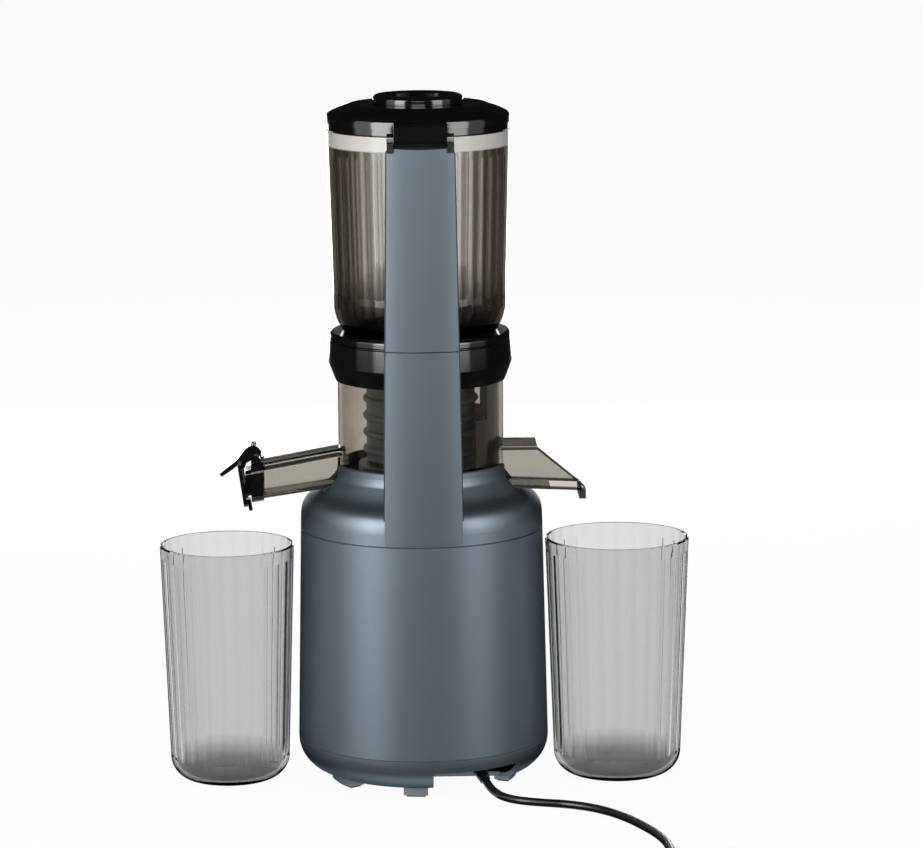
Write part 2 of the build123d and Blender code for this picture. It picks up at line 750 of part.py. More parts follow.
with BuildPart() as spout_flap:
    # plate that closes the mouth, square to the spout
    plate_x = spout_mouth_x + 4.2
    lean = (spout_root_low - spout_mouth_low) / (spout_mouth_x - spout_root_x)
    plate_lean = lean * (flap_high - flap_low)
    with BuildSketch(Plane.XZ):
        Polygon(
            (plate_x, flap_low),
            (plate_x + flap_thickness, flap_low - 0.3),
            (plate_x + flap_thickness + plate_lean, flap_high),
            (plate_x + plate_lean, flap_high + 0.4),
            align=None,
        )
    extrude(amount=spout_width / 2 + 0.8, both=True)
    fillet(spout_flap.edges().filter_by(Axis.X, reverse=True).group_by(SortBy.LENGTH)[0], 3.0)
    # plug that enters the mouth
    plug_shrink, plug_wall = spout_wall + 0.9, 1.4
    add(spout_form(spout_mouth_x - 2.5, plate_x + 1.4, plug_shrink))
    add(spout_form(spout_mouth_x - 3.5, plate_x, plug_shrink + plug_wall), mode=Mode.SUBTRACT)
    # drip tab under the plate
    with BuildSketch(Plane.XZ):
        Polygon((plate_x - 1.4, flap_low + 3), (plate_x + 0.6, flap_low + 3), (plate_x - 0.6, flap_low - 4.6),
                (plate_x - 2.8, flap_low - 4.6), align=None)
    extrude(amount=4, both=True)
    # lever with a hook at one end and a thumb tip at the other
    with BuildSketch(Plane.XZ):
        with BuildLine():
            Spline(*from_pivot(lever_back))
            Polyline(*from_pivot(lever_hook))
            Spline(*from_pivot(lever_belly))
            Polyline(*from_pivot((lever_belly[-1], lever_back[0])))
        make_face()
        with Locations((flap_pivot_x, flap_pivot_z)):
            Circle(2.5)
        with BuildLine():
            Polyline(*from_pivot(((-0.8, 0), (2.2, -1.4), (3.4, 3.5), (-0.8, 5.6))), close=True)
        make_face()
    extrude(amount=lever_half_width, both=True)
    with BuildSketch(Plane.XZ):
        with Locations((flap_pivot_x, flap_pivot_z)):
            Circle(flap_pivot_radius)
    extrude(amount=lever_half_width + 0.6 + 2 * ear_half, both=True)
save(spout_flap, "spout_flap")

# ---------------------------------------------------------------- pulp chute
slope = (chute_top - chute_end_height) / (chute_end - 3.4 - chute_flat_end)


def chute_form(shrink, root, end_low):
    """Side view of the chute, smaller by shrink all round except at its open sides."""
    slope_shift = shrink * sqrt(1 + slope * slope)
    return [
        (root, chute_top - shrink),
        (-chute_flat_end - shrink * 0.3, chute_top - shrink),
        (-chute_end + 3.4, chute_end_height - slope_shift + shrink * slope * 0.3),
        (-chute_end + shrink, chute_end_height - 4.0 - shrink * 0.5),
        (-chute_end + shrink, end_low),
    ]


with BuildPart() as pulp_chute:
    outside = chute_form(0, -spout_root_x, chute_low_end) + [(-spout_root_x, chute_low)]
    add(side_channel(outside, chute_width / 2))
    fillet(pulp_chute.edges().filter_by(Axis.Y).sort_by(Axis.X)[:3], 1.2)
    floor_rise = (chute_low - chute_low_end) * (chute_end - chute_floor_end) / (chute_end - spout_root_x)
    hollow = chute_form(chute_wall, -spout_root_x + 2, chute_low_end - 2) + [
        (-chute_floor_end, chute_low_end - 2),
        (-chute_floor_end, chute_low_end + floor_rise + 1.2),
        (-spout_root_x + 2, chute_low + 1.2),
    ]
    add(side_channel(hollow, chute_width / 2 - chute_wall), mode=Mode.SUBTRACT)
    add(cylinder(bowl_radius + fine, bowl_low - 5, bowl_rim), mode=Mode.SUBTRACT)
save(pulp_chute, "pulp_chute")

with BuildPart() as chute_lip:
    add(side_channel([(-chute_end - 1.0, drip_lip_low), (-chute_end - 1.0, chute_low_end - fine / 2),
                      (-chute_end + chute_wall + fine, chute_low_end - fine / 2),
                      (-chute_end + chute_wall + fine, chute_low_end + 2),
                      (-chute_end + chute_wall + 1.4, chute_low_end + 2),
                      (-chute_end + chute_wall + 1.4, drip_lip_low)], chute_width / 2 - chute_wall - fine))
save(chute_lip, "chute_lip")

with BuildPart() as pulp_shield:
    shield_outer, shield_inner = bowl_inner - fine, bowl_inner - fine - 1.6
    for half_angle, low, high in ((36, bowl_floor + 0.3, ledge_height - 5), (48, bowl_floor + 0.3, bowl_floor + 41)):
        with BuildSketch(Plane.XY.offset(low)):
            with BuildLine():
                CenterArc((0, 0), shield_outer, 180 - half_angle, 2 * half_angle)
                CenterArc((0, 0), shield_inner, 180 - half_angle, 2 * half_angle)
                for side in (-half_angle, half_angle):
                    Line(polar(shield_inner, 180 + side)[:2], polar(shield_outer, 180 + side)[:2])
            make_face()
        extrude(amount=high - low)
save(pulp_shield, "pulp_shield")

# ================================================================ strainer
with BuildPart() as strainer_frame:
    with BuildSketch(Plane.XZ):
        with BuildLine():
            Polyline(
                (brush_module * brush_sun_teeth / 2 + 2.2, strainer_low),
                (strainer_radius, strainer_low),
                (strainer_radius, ledge_height),
                (bowl_inner - fine, ledge_height),
                (bowl_inner - fine, ledge_height + flange_thickness),
                (strainer_radius - strainer_wall, ledge_height + flange_thickness),
                (strainer_radius - strainer_wall, strainer_low + 2),
                (brush_module * brush_sun_teeth / 2 + 2.2, strainer_low + 2),
                close=True,
            )
        make_face()
        for height in hoop_heights:
            with Locations((strainer_radius, height)):
                Ellipse(hoop_stand, 2.3)
        with Locations((strainer_radius - strainer_wall - 4, strainer_low + 2)):
            Rectangle(8, ledge_height - strainer_low, align=(Align.CENTER, Align.MIN), mode=Mode.SUBTRACT)
    revolve(axis=Axis.Z)
    # windows between the hoops, closed by the mesh inside
    window_edges = (strainer_low + 3, *hoop_heights, ledge_height)
    for low, high in zip(window_edges[:-1], window_edges[1:]):
        if high - low < 9:
            continue
        with Locations((0, 0, (low + high) / 2)):
            with PolarLocations(strainer_radius, window_count):
                Box(8, 20, high - low - 5.2, mode=Mode.SUBTRACT)
    # tube that leads the pulp down into the bowl's tunnel
    add(cylinder(pulp_tube_radius, bowl_floor + 0.3, strainer_low + 1, pulp_hole_x))
    add(cylinder(pulp_tube_radius - pulp_tube_wall, bowl_floor - 1, strainer_low + 3, pulp_hole_x),
        mode=Mode.SUBTRACT)
save(strainer_frame, "strainer_frame")

mesh_outer = strainer_radius - strainer_wall - fine / 2
with BuildPart() as strainer_mesh:
    add(ring(mesh_outer, mesh_outer - mesh_thickness, strainer_low + 2.2, ledge_height + flange_thickness))
save(strainer_mesh, "strainer_mesh")

# ================================================================ wiper
ring_pitch = brush_module * brush_ring_teeth / 2
arm_half = 6.0
with BuildPart() as wiper_frame:
    ring_low = bowl_floor + 0.4
    with BuildSketch(Plane.XY.offset(ring_low)):
        Circle(wiper_inner + 1.6)
        add(inner_gear_space(brush_module, brush_ring_teeth), rotation=pinion_angle, mode=Mode.SUBTRACT)
    extrude(amount=brush_gear_low + brush_gear_height - ring_low)
    add(ring(wiper_outer, wiper_inner, wiper_top - 5, wiper_top))
    with BuildSketch(Plane.XY.offset(brush_gear_low)):
        Rectangle(2 * arm_half, 2 * wiper_outer)
        Circle(wiper_inner, mode=Mode.SUBTRACT)
    extrude(amount=wiper_top - 2 - brush_gear_low)
    add(ring(wiper_outer + 20, wiper_outer, ring_low - 1, wiper_top + 1), mode=Mode.SUBTRACT)
save(wiper_frame, "wiper_frame")

blade_half = 0.7
with BuildPart() as wiper_blades:
    for side in (-1, 1):
        with BuildSketch(Plane.YZ):
            blade_low, blade_high = strainer_low + 1, hoop_heights[-1] + 14
            blade_root = side * (wiper_inner - fine)
            blade_edge = side * (strainer_radius + 0.4)
            Polygon((blade_root, blade_low), (blade_edge, blade_low), (blade_edge, blade_high),
                    (blade_root, blade_high), align=None)
            for height in hoop_heights:
                with Locations((side * strainer_radius, height)):
                    Ellipse(hoop_stand + 0.5, 2.9, mode=Mode.SUBTRACT)
        extrude(amount=blade_half, both=True)
save(wiper_blades, "wiper_blades")

with BuildPart() as brush_pinion:
    pinion_place = Plane(origin=polar(-pulp_hole_x, pinion_angle, brush_gear_low), z_dir=(0, 0, 1))
    with BuildSketch(pinion_place):
        half_tooth = 180 / brush_pinion_teeth
        add(outer_gear(brush_module, brush_pinion_teeth), rotation=pinion_angle + 180 + half_tooth)
        Circle(pin_radius + shaft_play, mode=Mode.SUBTRACT)
    extrude(amount=brush_gear_height)
save(brush_pinion, "brush_pinion")

# ================================================================ auger and feeder
auger_outer = mesh_outer - mesh_thickness - 0.5
auger_low = brush_gear_low
auger_root = 19.0            # core radius at the bottom
auger_neck = 14.5            # core radius at the top
auger_high = bowl_rim - 11.5
flight_pitch = 24.0
flight_low = strainer_low + 5.0
flight_foot = 5.0            # flight thickness at the core
flight_edge = 2.6            # flight thickness at the rim
socket_play = 0.12
peg_side = 9.0
peg_height = 8.0


def helical_flight(pitch, low, high, inner, outer, foot, edge):
    """A screw flight round the Z axis as a private solid."""
    middle = (inner + outer) / 2
    with BuildLine():
        path = Helix(pitch, high - low, middle, center=(0, 0, low))
    start = Plane(origin=path @ 0, x_dir=(1, 0, 0), z_dir=path % 0)
    with BuildSketch(start) as section:
        Polygon((inner - middle, -foot / 2), (outer - middle, -edge / 2), (outer - middle, edge / 2),
                (inner - middle, foot / 2), align=None)
    return sweep(section.sketch, path=path, is_frenet=True, mode=Mode.PRIVATE)


with BuildPart() as auger:
    with BuildSketch(Plane.XZ):
        with BuildLine():
            Polyline(
                (0, auger_low),
                (brush_module * (brush_sun_teeth / 2 - dedendum), auger_low),
                (brush_module * (brush_sun_teeth / 2 - dedendum), auger_low + brush_gear_height),
                (brush_module * brush_sun_teeth / 2 + 1.5, auger_low + brush_gear_height + 1),
                (brush_module * brush_sun_teeth / 2 + 1.5, strainer_low + 3),
                (auger_root, strainer_low + 4),
                (auger_neck, auger_high),
                (auger_neck - 3, auger_high + 2),
                (0, auger_high + 2),
                close=True,
            )
        make_face()
    revolve(axis=Axis.Z)
    with BuildSketch(Plane.XY.offset(auger_low)):
        add(outer_gear(brush_module, brush_sun_teeth), rotation=pinion_angle)
    extrude(amount=brush_gear_height)
    add(helical_flight(flight_pitch, flight_low, auger_high - 8, auger_neck - 4, auger_outer,
                       flight_foot, flight_edge))
    add(ring(auger_outer + 20, auger_outer, strainer_low, auger_high + 2), mode=Mode.SUBTRACT)
    with BuildSketch(Plane.XY.offset(auger_high + 2)):
        Rectangle(peg_side, peg_side)
    extrude(amount=peg_height)
    # hexagonal socket for the drive shaft
    with BuildSketch(Plane.XY.offset(auger_low - 1)):
        RegularPolygon(drive_flats / 2 + socket_play, 6, major_radius=False)
    extrude(amount=drive_top - auger_low + 2.5, mode=Mode.SUBTRACT)
save(auger, "auger")

feeder_low = auger_high + 2.3
feeder_height = 39.7
feeder_high = feeder_low + feeder_height
feeder_radius = drum_low_radius - drum_wall - 4.5
with BuildPart() as feeder_blade:
    with BuildSketch(Plane.XZ):
        with BuildLine():
            Polyline((0, feeder_low), (feeder_radius, feeder_low), (feeder_radius, feeder_low + 2.4),
                     (17, feeder_low + 5), (12, feeder_low + 12))
            Spline((12, feeder_low + 12), (8.5, feeder_high - 7), (0, feeder_high),
                   tangents=((-0.1, 1), (-1, 0)))
            Line((0, feeder_high), (0, feeder_low))
        make_face()
    revolve(axis=Axis.Z)
    add(helical_flight(58, feeder_low + 3, feeder_high - 10, 5, feeder_radius, 6, 3))
    # two mouths in the disc let the cut food through to the auger
    with BuildSketch(Plane.XY.offset(feeder_low - 1)):
        for start in (20, 200):
            with BuildLine():
                CenterArc((0, 0), feeder_radius - 4, start, 120)
                CenterArc((0, 0), 19, start, 120)
                for side in (start, start + 120):
                    Line(polar(19, side)[:2], polar(feeder_radius - 4, side)[:2])
            make_face()
    extrude(amount=4, mode=Mode.SUBTRACT)
    with BuildSketch(Plane.XY.offset(feeder_low - 1)):
        Rectangle(peg_side + fine, peg_side + fine)
    extrude(amount=peg_height + 1.2, mode=Mode.SUBTRACT)
save(feeder_blade, "feeder_blade")

# ================================================================ gearbox
sun_pitch = stage_module * sun_teeth / 2
planet_pitch = stage_module * planet_teeth / 2
gearbox_inner = stage_module * ring_teeth / 2 + 1.6
gearbox_outer = gearbox_inner + gearbox_wall
planet_circle = sun_pitch + planet_pitch
stage_2_low = stage_1_low + stage_width + 2 * carrier_gap + carrier_thickness
stage_lows = (stage_1_low, stage_2_low)
with BuildPart() as ring_gear_housing:
    add(ring(gearbox_outer, gearbox_inner, gearbox_low, gearbox_top))
    add(ring(gearbox_outer, rotor_shaft_radius + 4, gearbox_low, gearbox_low + 3))
    with BuildSketch(Plane.XY.offset(stage_1_low - 2)):
        Circle(gearbox_inner + 1)
        add(inner_gear_space(stage_module, ring_teeth), mode=Mode.SUBTRACT)
    extrude(amount=stage_2_low + stage_width - stage_1_low + 2)
save(ring_gear_housing, "ring_gear_housing")

for stage, low in enumerate(stage_lows, start=1):
    for index in range(planet_count):
        angle = 360 / planet_count * index
        with BuildPart() as planet:
            with BuildSketch(Plane(origin=polar(planet_circle, angle, low), z_dir=(0, 0, 1))):
                add(outer_gear(stage_module, planet_teeth), rotation=angle + 180 + 180 / planet_teeth)
                Circle(pin_radius + shaft_play, mode=Mode.SUBTRACT)
            extrude(amount=stage_width)
        save(planet, "stage_%d_planet_%s" % (stage, "abc"[index]))


def carrier_pins(low, high):
    """The planets' pins as private solids."""
    pins = []
    for index in range(planet_count):
        x, y, _ = polar(planet_circle, 360 / planet_count * index)
        pins.append(cylinder(pin_radius, low, high, x, y))
    return pins


with BuildPart() as stage_1_carrier:
    plate_low = stage_1_low + stage_width + carrier_gap
    add(cylinder(carrier_radius, plate_low, plate_low + carrier_thickness))
    for pin in carrier_pins(stage_1_low, plate_low + 0.5):
        add(pin)
    with BuildSketch(Plane.XY.offset(plate_low + carrier_thickness)):
        add(outer_gear(stage_module, sun_teeth))
    extrude(amount=carrier_gap + stage_width)
save(stage_1_carrier, "stage_1_carrier")

output_low = stage_2_low + stage_width + carrier_gap
with BuildPart() as drive_shaft:
    add(cylinder(carrier_radius, output_low, output_low + carrier_thickness))
    for pin in carrier_pins(stage_2_low, output_low + 0.5):
        add(pin)
    add(cylinder(drive_radius, output_low + carrier_thickness - 0.5, hub_top - 0.5))
    with BuildSketch(Plane.XY.offset(hub_top - 1)):
        RegularPolygon(drive_flats / 2, 6, major_radius=False)
    extrude(amount=drive_top - hub_top + 1)
    chamfer(drive_shaft.edges().group_by(Axis.Z)[-1], 0.8)
save(drive_shaft, "drive_shaft")

cover_top = gearbox_top + cover_thickness
with BuildPart() as gearbox_cover:
    add(ring(gearbox_outer, drive_radius + 6.3, gearbox_top, cover_top))
    for index in range(damper_count):
        angle = 45 + 360 / damper_count * index
        with BuildSketch(Plane(origin=(0, 0, gearbox_top), x_dir=polar(1, angle), z_dir=(0, 0, 1))):
            with Locations(((gearbox_outer - 4 + damper_circle_radius) / 2, 0)):
                Rectangle(damper_circle_radius - gearbox_outer + 4, 2 * damper_radius)
            with Locations((damper_circle_radius, 0)):
                Circle(damper_radius)
        extrude(amount=cover_thickness)
    add(ring(drive_radius + 8, drive_radius + 6.3, gearbox_top, cover_top + 5))
save(gearbox_cover, "gearbox_cover")

with BuildPart() as output_bearing:
    add(ring(drive_radius + 6.3, drive_radius + shaft_play, gearbox_top + 0.5, cover_top + 4.5))
save(output_bearing, "output_bearing")

damper_top = cover_top + damper_height
with BuildPart() as mount_dampers:
    for index in range(damper_count):
        x, y, _ = polar(damper_circle_radius, 45 + 360 / damper_count * index)
        add(cylinder(damper_radius, cover_top, damper_top, x, y))
save(mount_dampers, "mount_dampers")

with BuildPart() as drive_seal:
    add(ring(drive_radius + 3, drive_radius + shaft_play, deck_top - deck_thickness, deck_top))
save(drive_seal, "drive_seal")

# ================================================================ motor
with BuildPart() as motor_can:
    add(ring(motor_radius, motor_radius - motor_wall, motor_low, motor_high))
    add(ring(motor_radius, bearing_radius, motor_low, motor_low + motor_wall))
    add(ring(motor_radius, bearing_radius, motor_high, gearbox_low))
    add(ring(bearing_radius + 2, bearing_radius, motor_low, motor_low + bearing_width + 1))
    add(ring(bearing_radius + 2, bearing_radius, motor_high - bearing_width, gearbox_low))
    with PolarLocations(motor_radius, 6, start_angle=30):
        with Locations((0, 0, motor_low + 14)):
            Box(10, 12, 8, mode=Mode.SUBTRACT)
save(motor_can, "motor_can")

stator_low, stator_high = motor_low + 12, motor_high - 12
with BuildPart() as stator:
    add(ring(motor_radius - motor_wall - fine / 2, motor_radius - motor_wall - 5, stator_low, stator_high))
    with BuildSketch(Plane.XY.offset(stator_low)):
        with PolarLocations(0, 6):
            with Locations(((stator_bore_radius + motor_radius - motor_wall - 4) / 2, 0)):
                Rectangle(motor_radius - motor_wall - 4 - stator_bore_radius, 7)
            with Locations((stator_bore_radius + 1.6, 0)):
                Rectangle(3.2, 15)
        Circle(stator_bore_radius, mode=Mode.SUBTRACT)
    extrude(amount=stator_high - stator_low)
save(stator, "stator")

winding_height = 5.0         # how far the end turns stand past the stack
with BuildPart() as stator_windings:
    with BuildSketch(Plane.XY.offset(stator_low - winding_height)):
        with PolarLocations(stator_bore_radius + 5.5, 6):
            Rectangle(3.4, 11.6)
    extrude(amount=stator_high - stator_low + 2 * winding_height)
    with BuildSketch(Plane.XY.offset(stator_low - fine)):
        with PolarLocations(stator_bore_radius + 5.5, 6):
            Rectangle(5, 7 + 2 * fine)
    extrude(amount=stator_high - stator_low + 2 * fine, mode=Mode.SUBTRACT)
save(stator_windings, "stator_windings")

with BuildPart() as motor_bearings:
    for low in (motor_low, motor_high - 3):
        add(ring(bearing_radius - fine / 4, rotor_shaft_radius + shaft_play, low, low + bearing_width))
save(motor_bearings, "motor_bearings")

with BuildPart() as rotor_core:
    add(ring(rotor_radius, rotor_shaft_radius, stator_low, stator_high))
    with BuildSketch(Plane.XY.offset(stator_low)):
        with PolarLocations(rotor_radius, 12):
            Rectangle(2.4, 1.6)
    extrude(amount=stator_high - stator_low, mode=Mode.SUBTRACT)
save(rotor_core, "rotor_core")

with BuildPart() as motor_shaft:
    add(cylinder(rotor_shaft_radius, motor_low - 14, stage_1_low - 1))
    with BuildSketch(Plane.XY.offset(stage_1_low - 1.5)):
        add(outer_gear(stage_module, sun_teeth))
    extrude(amount=stage_width + 1.5)
save(motor_shaft, "motor_shaft")

fan_blades = 9
fan_radius = 30.0
fan_height = 10.0
fan_gap = 2.0                # between the fan and the motor
fan_hub_radius = 8.0
blade_thickness = 1.4
fan_high = motor_low - fan_gap
fan_low = fan_high - fan_height
blade_start_radius = fan_hub_radius + 6
with BuildPart() as cooling_fan:
    add(ring(fan_hub_radius, rotor_shaft_radius, fan_low, fan_high))
    add(ring(fan_radius, fan_hub_radius - 0.5, fan_high - 2, fan_high - 0.5))
    with BuildSketch(Plane.XY.offset(fan_low)):
        with PolarLocations(0, fan_blades):
            with Locations(((fan_radius + blade_start_radius - 2) / 2, 0)):
                Rectangle(fan_radius - blade_start_radius, blade_thickness, rotation=18)
    extrude(amount=fan_height - 1.5)
save(cooling_fan, "cooling_fan")

# ================================================================ hopper
with BuildPart() as hopper_flange:
    with BuildSketch(Plane.XZ):
        with BuildLine():
            Polyline(
                (drum_low_radius - drum_wall, flange_top),
                (drum_low_radius + fine, flange_top),
                (collar_radius - 2.4, flange_top),
            )
            ThreePointArc((collar_radius - 2.4, flange_top), (collar_radius - 0.8, flange_top - 0.8),
                          (collar_radius - 0.3, flange_top - 2.4))
            Polyline(
                (collar_radius - 0.3, flange_top - 2.4),
                (collar_radius - 0.3, flange_low + 0.5),
                (collar_radius - 0.8, flange_low),
                (spigot_radius, flange_low),
                (spigot_radius, flange_low - spigot_depth),
                (spigot_radius - spigot_wall, flange_low - spigot_depth),
                (spigot_radius - spigot_wall, flange_low),
                (drum_low_radius - drum_wall, flange_top),
            )
        make_face()
    revolve(axis=Axis.Z)
    # tongue that carries the foot of the column
    tongue_half = 15.0
    tongue_end = column_inner_radius - liner_thickness + fine / 2
    with BuildSketch(Plane.XY.offset(flange_low)) as tongue_plan:
        Rectangle(2 * tongue_half, column_inner_radius, align=(Align.CENTER, Align.MIN))
        Circle(tongue_end, mode=Mode.INTERSECT)
        Circle(collar_radius - 4, mode=Mode.SUBTRACT)
    add(extrude(tongue_plan.sketch, flange_height - 1, mode=Mode.PRIVATE))
save(hopper_flange, "hopper_flange")

ear_reach = hinge_y + knuckle_radius
with BuildPart() as hopper_drum:
    with BuildSketch(Plane.XZ):
        with BuildLine():
            low_mid = (drum_low_radius + drum_waist_radius) / 2 + 1.2, (flange_top + drum_waist) / 2 - 4.5
            ThreePointArc((drum_low_radius, flange_top), low_mid, (drum_waist_radius, drum_waist))
            Polyline((drum_waist_radius, drum_waist), (drum_top_radius, drum_top),
                     (drum_top_radius - drum_wall, drum_top), (drum_waist_radius - drum_wall, drum_waist))
            ThreePointArc((drum_waist_radius - drum_wall, drum_waist), (low_mid[0] - drum_wall, low_mid[1]),
                          (drum_low_radius - drum_wall, flange_top))
            Line((drum_low_radius - drum_wall, flange_top), (drum_low_radius, flange_top))
        make_face()
    revolve(axis=Axis.Z)
    # flutes down the inside of the wall
    lean = degrees(atan2(drum_radius(flute_high) - drum_radius(flute_low), flute_high - flute_low))
    flute_middle = (flute_low + flute_high) / 2
    with Locations((0, 0, flute_middle)):
        with PolarLocations(drum_radius(flute_middle) - drum_wall - 0.8, flute_count):
            Cylinder(flute_radius, flute_high - flute_low, rotation=(0, lean, 0), mode=Mode.SUBTRACT)
    # ears for the lid's hinge
    for side in (-1, 1):
        middle = side * (ear_inner + ear_thickness / 2)
        with BuildSketch(Plane.YZ.offset(middle)):
            with BuildLine():
                Polyline((hinge_y + knuckle_radius, hinge_z), (hinge_y + knuckle_radius - 0.6, ear_low),
                         (drum_top_radius - 6, ear_low), (drum_top_radius - 6, lid_ring_low - 1),
                         (lid_radius - 2, lid_ring_low - 1), (hinge_y - knuckle_radius, hinge_z + 1))
                ThreePointArc((hinge_y - knuckle_radius, hinge_z + 1), (hinge_y, ear_high),
                              (hinge_y + knuckle_radius, hinge_z))
            make_face()
        extrude(amount=ear_thickness / 2, both=True)
    with BuildSketch(Plane.YZ):
        with Locations((hinge_y, hinge_z)):
            Circle(hinge_pin_radius + shaft_play / 2)
    extrude(amount=ear_inner + 2 * ear_thickness, both=True, mode=Mode.SUBTRACT)
    inner_top = drum_radius(ear_low) - drum_wall
    add(cylinder(inner_top, ear_low - 2, drum_top + 1), mode=Mode.SUBTRACT)
save(hopper_drum, "hopper_drum")

upper_low = column_split + column_gap
with BuildPart() as upper_column:
    add(column_block(upper_low, column_top, column_inner_radius, column_outer_radius, 0))
    add(column_block(upper_low + column_wall, column_top - column_wall, column_inner_radius - 5,
                     column_outer_radius - column_wall, -column_wall), mode=Mode.SUBTRACT)
    # notches for the ears
    for side in (-1, 1):
        with Locations((side * (ear_inner + 10 - fine), hinge_y, ear_low - fine)):
            Box(20, 40, 20, align=(Align.CENTER, Align.CENTER, Align.MIN), mode=Mode.SUBTRACT)
    # slope behind the hinge, where the knuckle of the open lid swings
    with BuildSketch(Plane.YZ):
        Polygon((hinge_y, column_top), (column_outer_radius + 1, column_top - top_relief),
                (column_outer_radius + 1, column_top + 1), (hinge_y, column_top + 1), align=None)
    extrude(amount=column_high_width, both=True, mode=Mode.SUBTRACT)
save(upper_column, "upper_column")

with BuildPart() as upper_column_liner:
    add(column_block(upper_low, ear_low - 1, column_inner_radius - liner_thickness + fine,
                     column_inner_radius - fine, liner_reveal))
save(upper_column_liner, "upper_column_liner")

with BuildPart() as hinge_pin:
    pin_half = ear_inner + ear_thickness
    with BuildSketch(Plane.YZ.offset(-pin_half)):
        with Locations((hinge_y, hinge_z)):
            Circle(hinge_pin_radius)
    extrude(amount=2 * pin_half)
save(hinge_pin, "hinge_pin")

# ================================================================ lid
with BuildPart() as lid_dome:
    with BuildSketch(Plane.XZ):
        with BuildLine():
            Line((lid_radius, lid_seam), (lid_radius, lid_shoulder))
            Spline((lid_radius, lid_shoulder), (lid_radius - 3.2, lid_shoulder + 4.6),
                   (lid_radius - 14, lid_top - 0.3), (cap_radius - 1.5, lid_top + 0.6),
                   tangents=((0, 1), (-1, 0)))
            Polyline((cap_radius - 1.5, lid_top + 0.6), (cap_radius - 1.5, lid_top - lid_wall),
                     (lid_radius - 14, lid_top - lid_wall), (lid_radius - lid_wall - 2, lid_seam + 3),
                     (lid_radius - lid_wall, lid_seam), (lid_radius, lid_seam))
        make_face()
    revolve(axis=Axis.Z)
    # knuckle block of the hinge
    with BuildSketch(Plane.YZ):
        with BuildLine():
            far = hinge_y + knuckle_radius
            bend = knuckle_radius * sin(pi / 4)
            Polyline((hinge_y, hinge_z - knuckle_radius), (far - knuckle_depth, hinge_z + 2.4),
                     (lid_radius + 0.4, lid_seam + fine), (lid_radius - 4, lid_seam + fine),
                     (lid_radius - 4, knuckle_top), (far - 1.5, knuckle_top), (far, knuckle_top - 1.5),
                     (far, hinge_z))
            ThreePointArc((far, hinge_z), (hinge_y + bend, hinge_z - bend),
                          (hinge_y, hinge_z - knuckle_radius))
        make_face()
    extrude(amount=knuckle_width / 2, both=True)
    with BuildSketch(Plane.YZ):
        with Locations((hinge_y, hinge_z)):
            Circle(hinge_pin_radius + shaft_play)
    extrude(amount=knuckle_width, both=True, mode=Mode.SUBTRACT)
save(lid_dome, "lid_dome")

with BuildPart() as lid_ring:
    skirt_outer, skirt_inner = lid_skirt_radius, lid_skirt_radius - lid_skirt_wall
    with BuildSketch(Plane.XZ):
        Polygon((skirt_inner, lid_skirt_low + 1), (skirt_inner + 0.8, lid_skirt_low),
                (skirt_outer - 0.8, lid_skirt_low), (skirt_outer, lid_skirt_low + 1),
                (skirt_outer + 0.4, lid_ring_low), (lid_radius - 0.8, lid_ring_low),
                (lid_radius - 0.6, lid_seam), (skirt_inner, lid_seam), align=None)
    revolve(axis=Axis.Z)
save(lid_ring, "lid_ring")

cap_floor = cap_top - cap_recess_depth
cap_low = cap_floor - 2.4
with BuildPart() as lid_cap:
    with BuildSketch(Plane.XZ):
        with BuildLine():
            Polyline((0, cap_low), (cap_radius - 1.8, cap_low), (cap_radius - 1.8, lid_top + 0.8),
                     (cap_radius, lid_top + 0.8), (cap_radius, cap_top - 2.6))
            ThreePointArc((cap_radius, cap_top - 2.6), (cap_radius - 0.9, cap_top - 0.8),
                          (cap_radius - 3, cap_top))
            Polyline((cap_radius - 3, cap_top), (cap_recess_radius + 1.4, cap_top),
                     (cap_recess_radius, cap_top - 1.2), (cap_recess_radius - 1.2, cap_floor), (0, cap_floor),
                     (0, cap_low))
        make_face()
    revolve(axis=Axis.Z)
save(lid_cap, "lid_cap")


# ================================================================ cups
def cup(x, rim, low, height):
    """A tapered cup with a round heel and wide flutes down its outside."""
    slope_angle = degrees(atan2(rim - low, height - cup_corner))
    bend = radians(90 + slope_angle) / 2
    heel_x, heel_z = low - cup_corner, cup_corner
    with BuildSketch(Plane(origin=(x, 0, 0), x_dir=(1, 0, 0), z_dir=(0, -1, 0))) as profile:
        with BuildLine():
            Line((0, 0), (heel_x, 0))
            ThreePointArc((heel_x, 0),
                          (heel_x + cup_corner * sin(bend), heel_z - cup_corner * cos(bend)), (low, heel_z))
            Polyline((low, heel_z), (rim, height - 0.8), (rim - 0.8, height), (rim - cup_wall + 0.4, height),
                     (rim - cup_wall, height - 0.6), (low - cup_wall, heel_z + 2))
            inner_x = heel_x + 1
            inner_bend = inner_x + (cup_corner - 3.2) * sin(bend), heel_z + 2 - (cup_corner - 1) * cos(bend)
            ThreePointArc((low - cup_wall, heel_z + 2), inner_bend, (inner_x, cup_base))
            Polyline((inner_x, cup_base), (0, cup_base), (0, 0))
        make_face()
    body = revolve(profile.sketch, axis=Axis((x, 0, 0), (0, 0, 1)), mode=Mode.PRIVATE)
    cutter_radius, flute_top, flute_foot = 7.0, height - 9, cup_corner
    middle = (flute_top + flute_foot) / 2
    middle_radius = low + (rim - low) * (middle - cup_corner) / (height - cup_corner)
    cutter = Cylinder(cutter_radius, flute_top - flute_foot, rotation=(0, slope_angle, 0), mode=Mode.PRIVATE)
    places = PolarLocations(middle_radius + cutter_radius - cup_flute_depth, cup_flutes)
    return body - [Pos(x, 0, middle) * place * cutter for place in places]


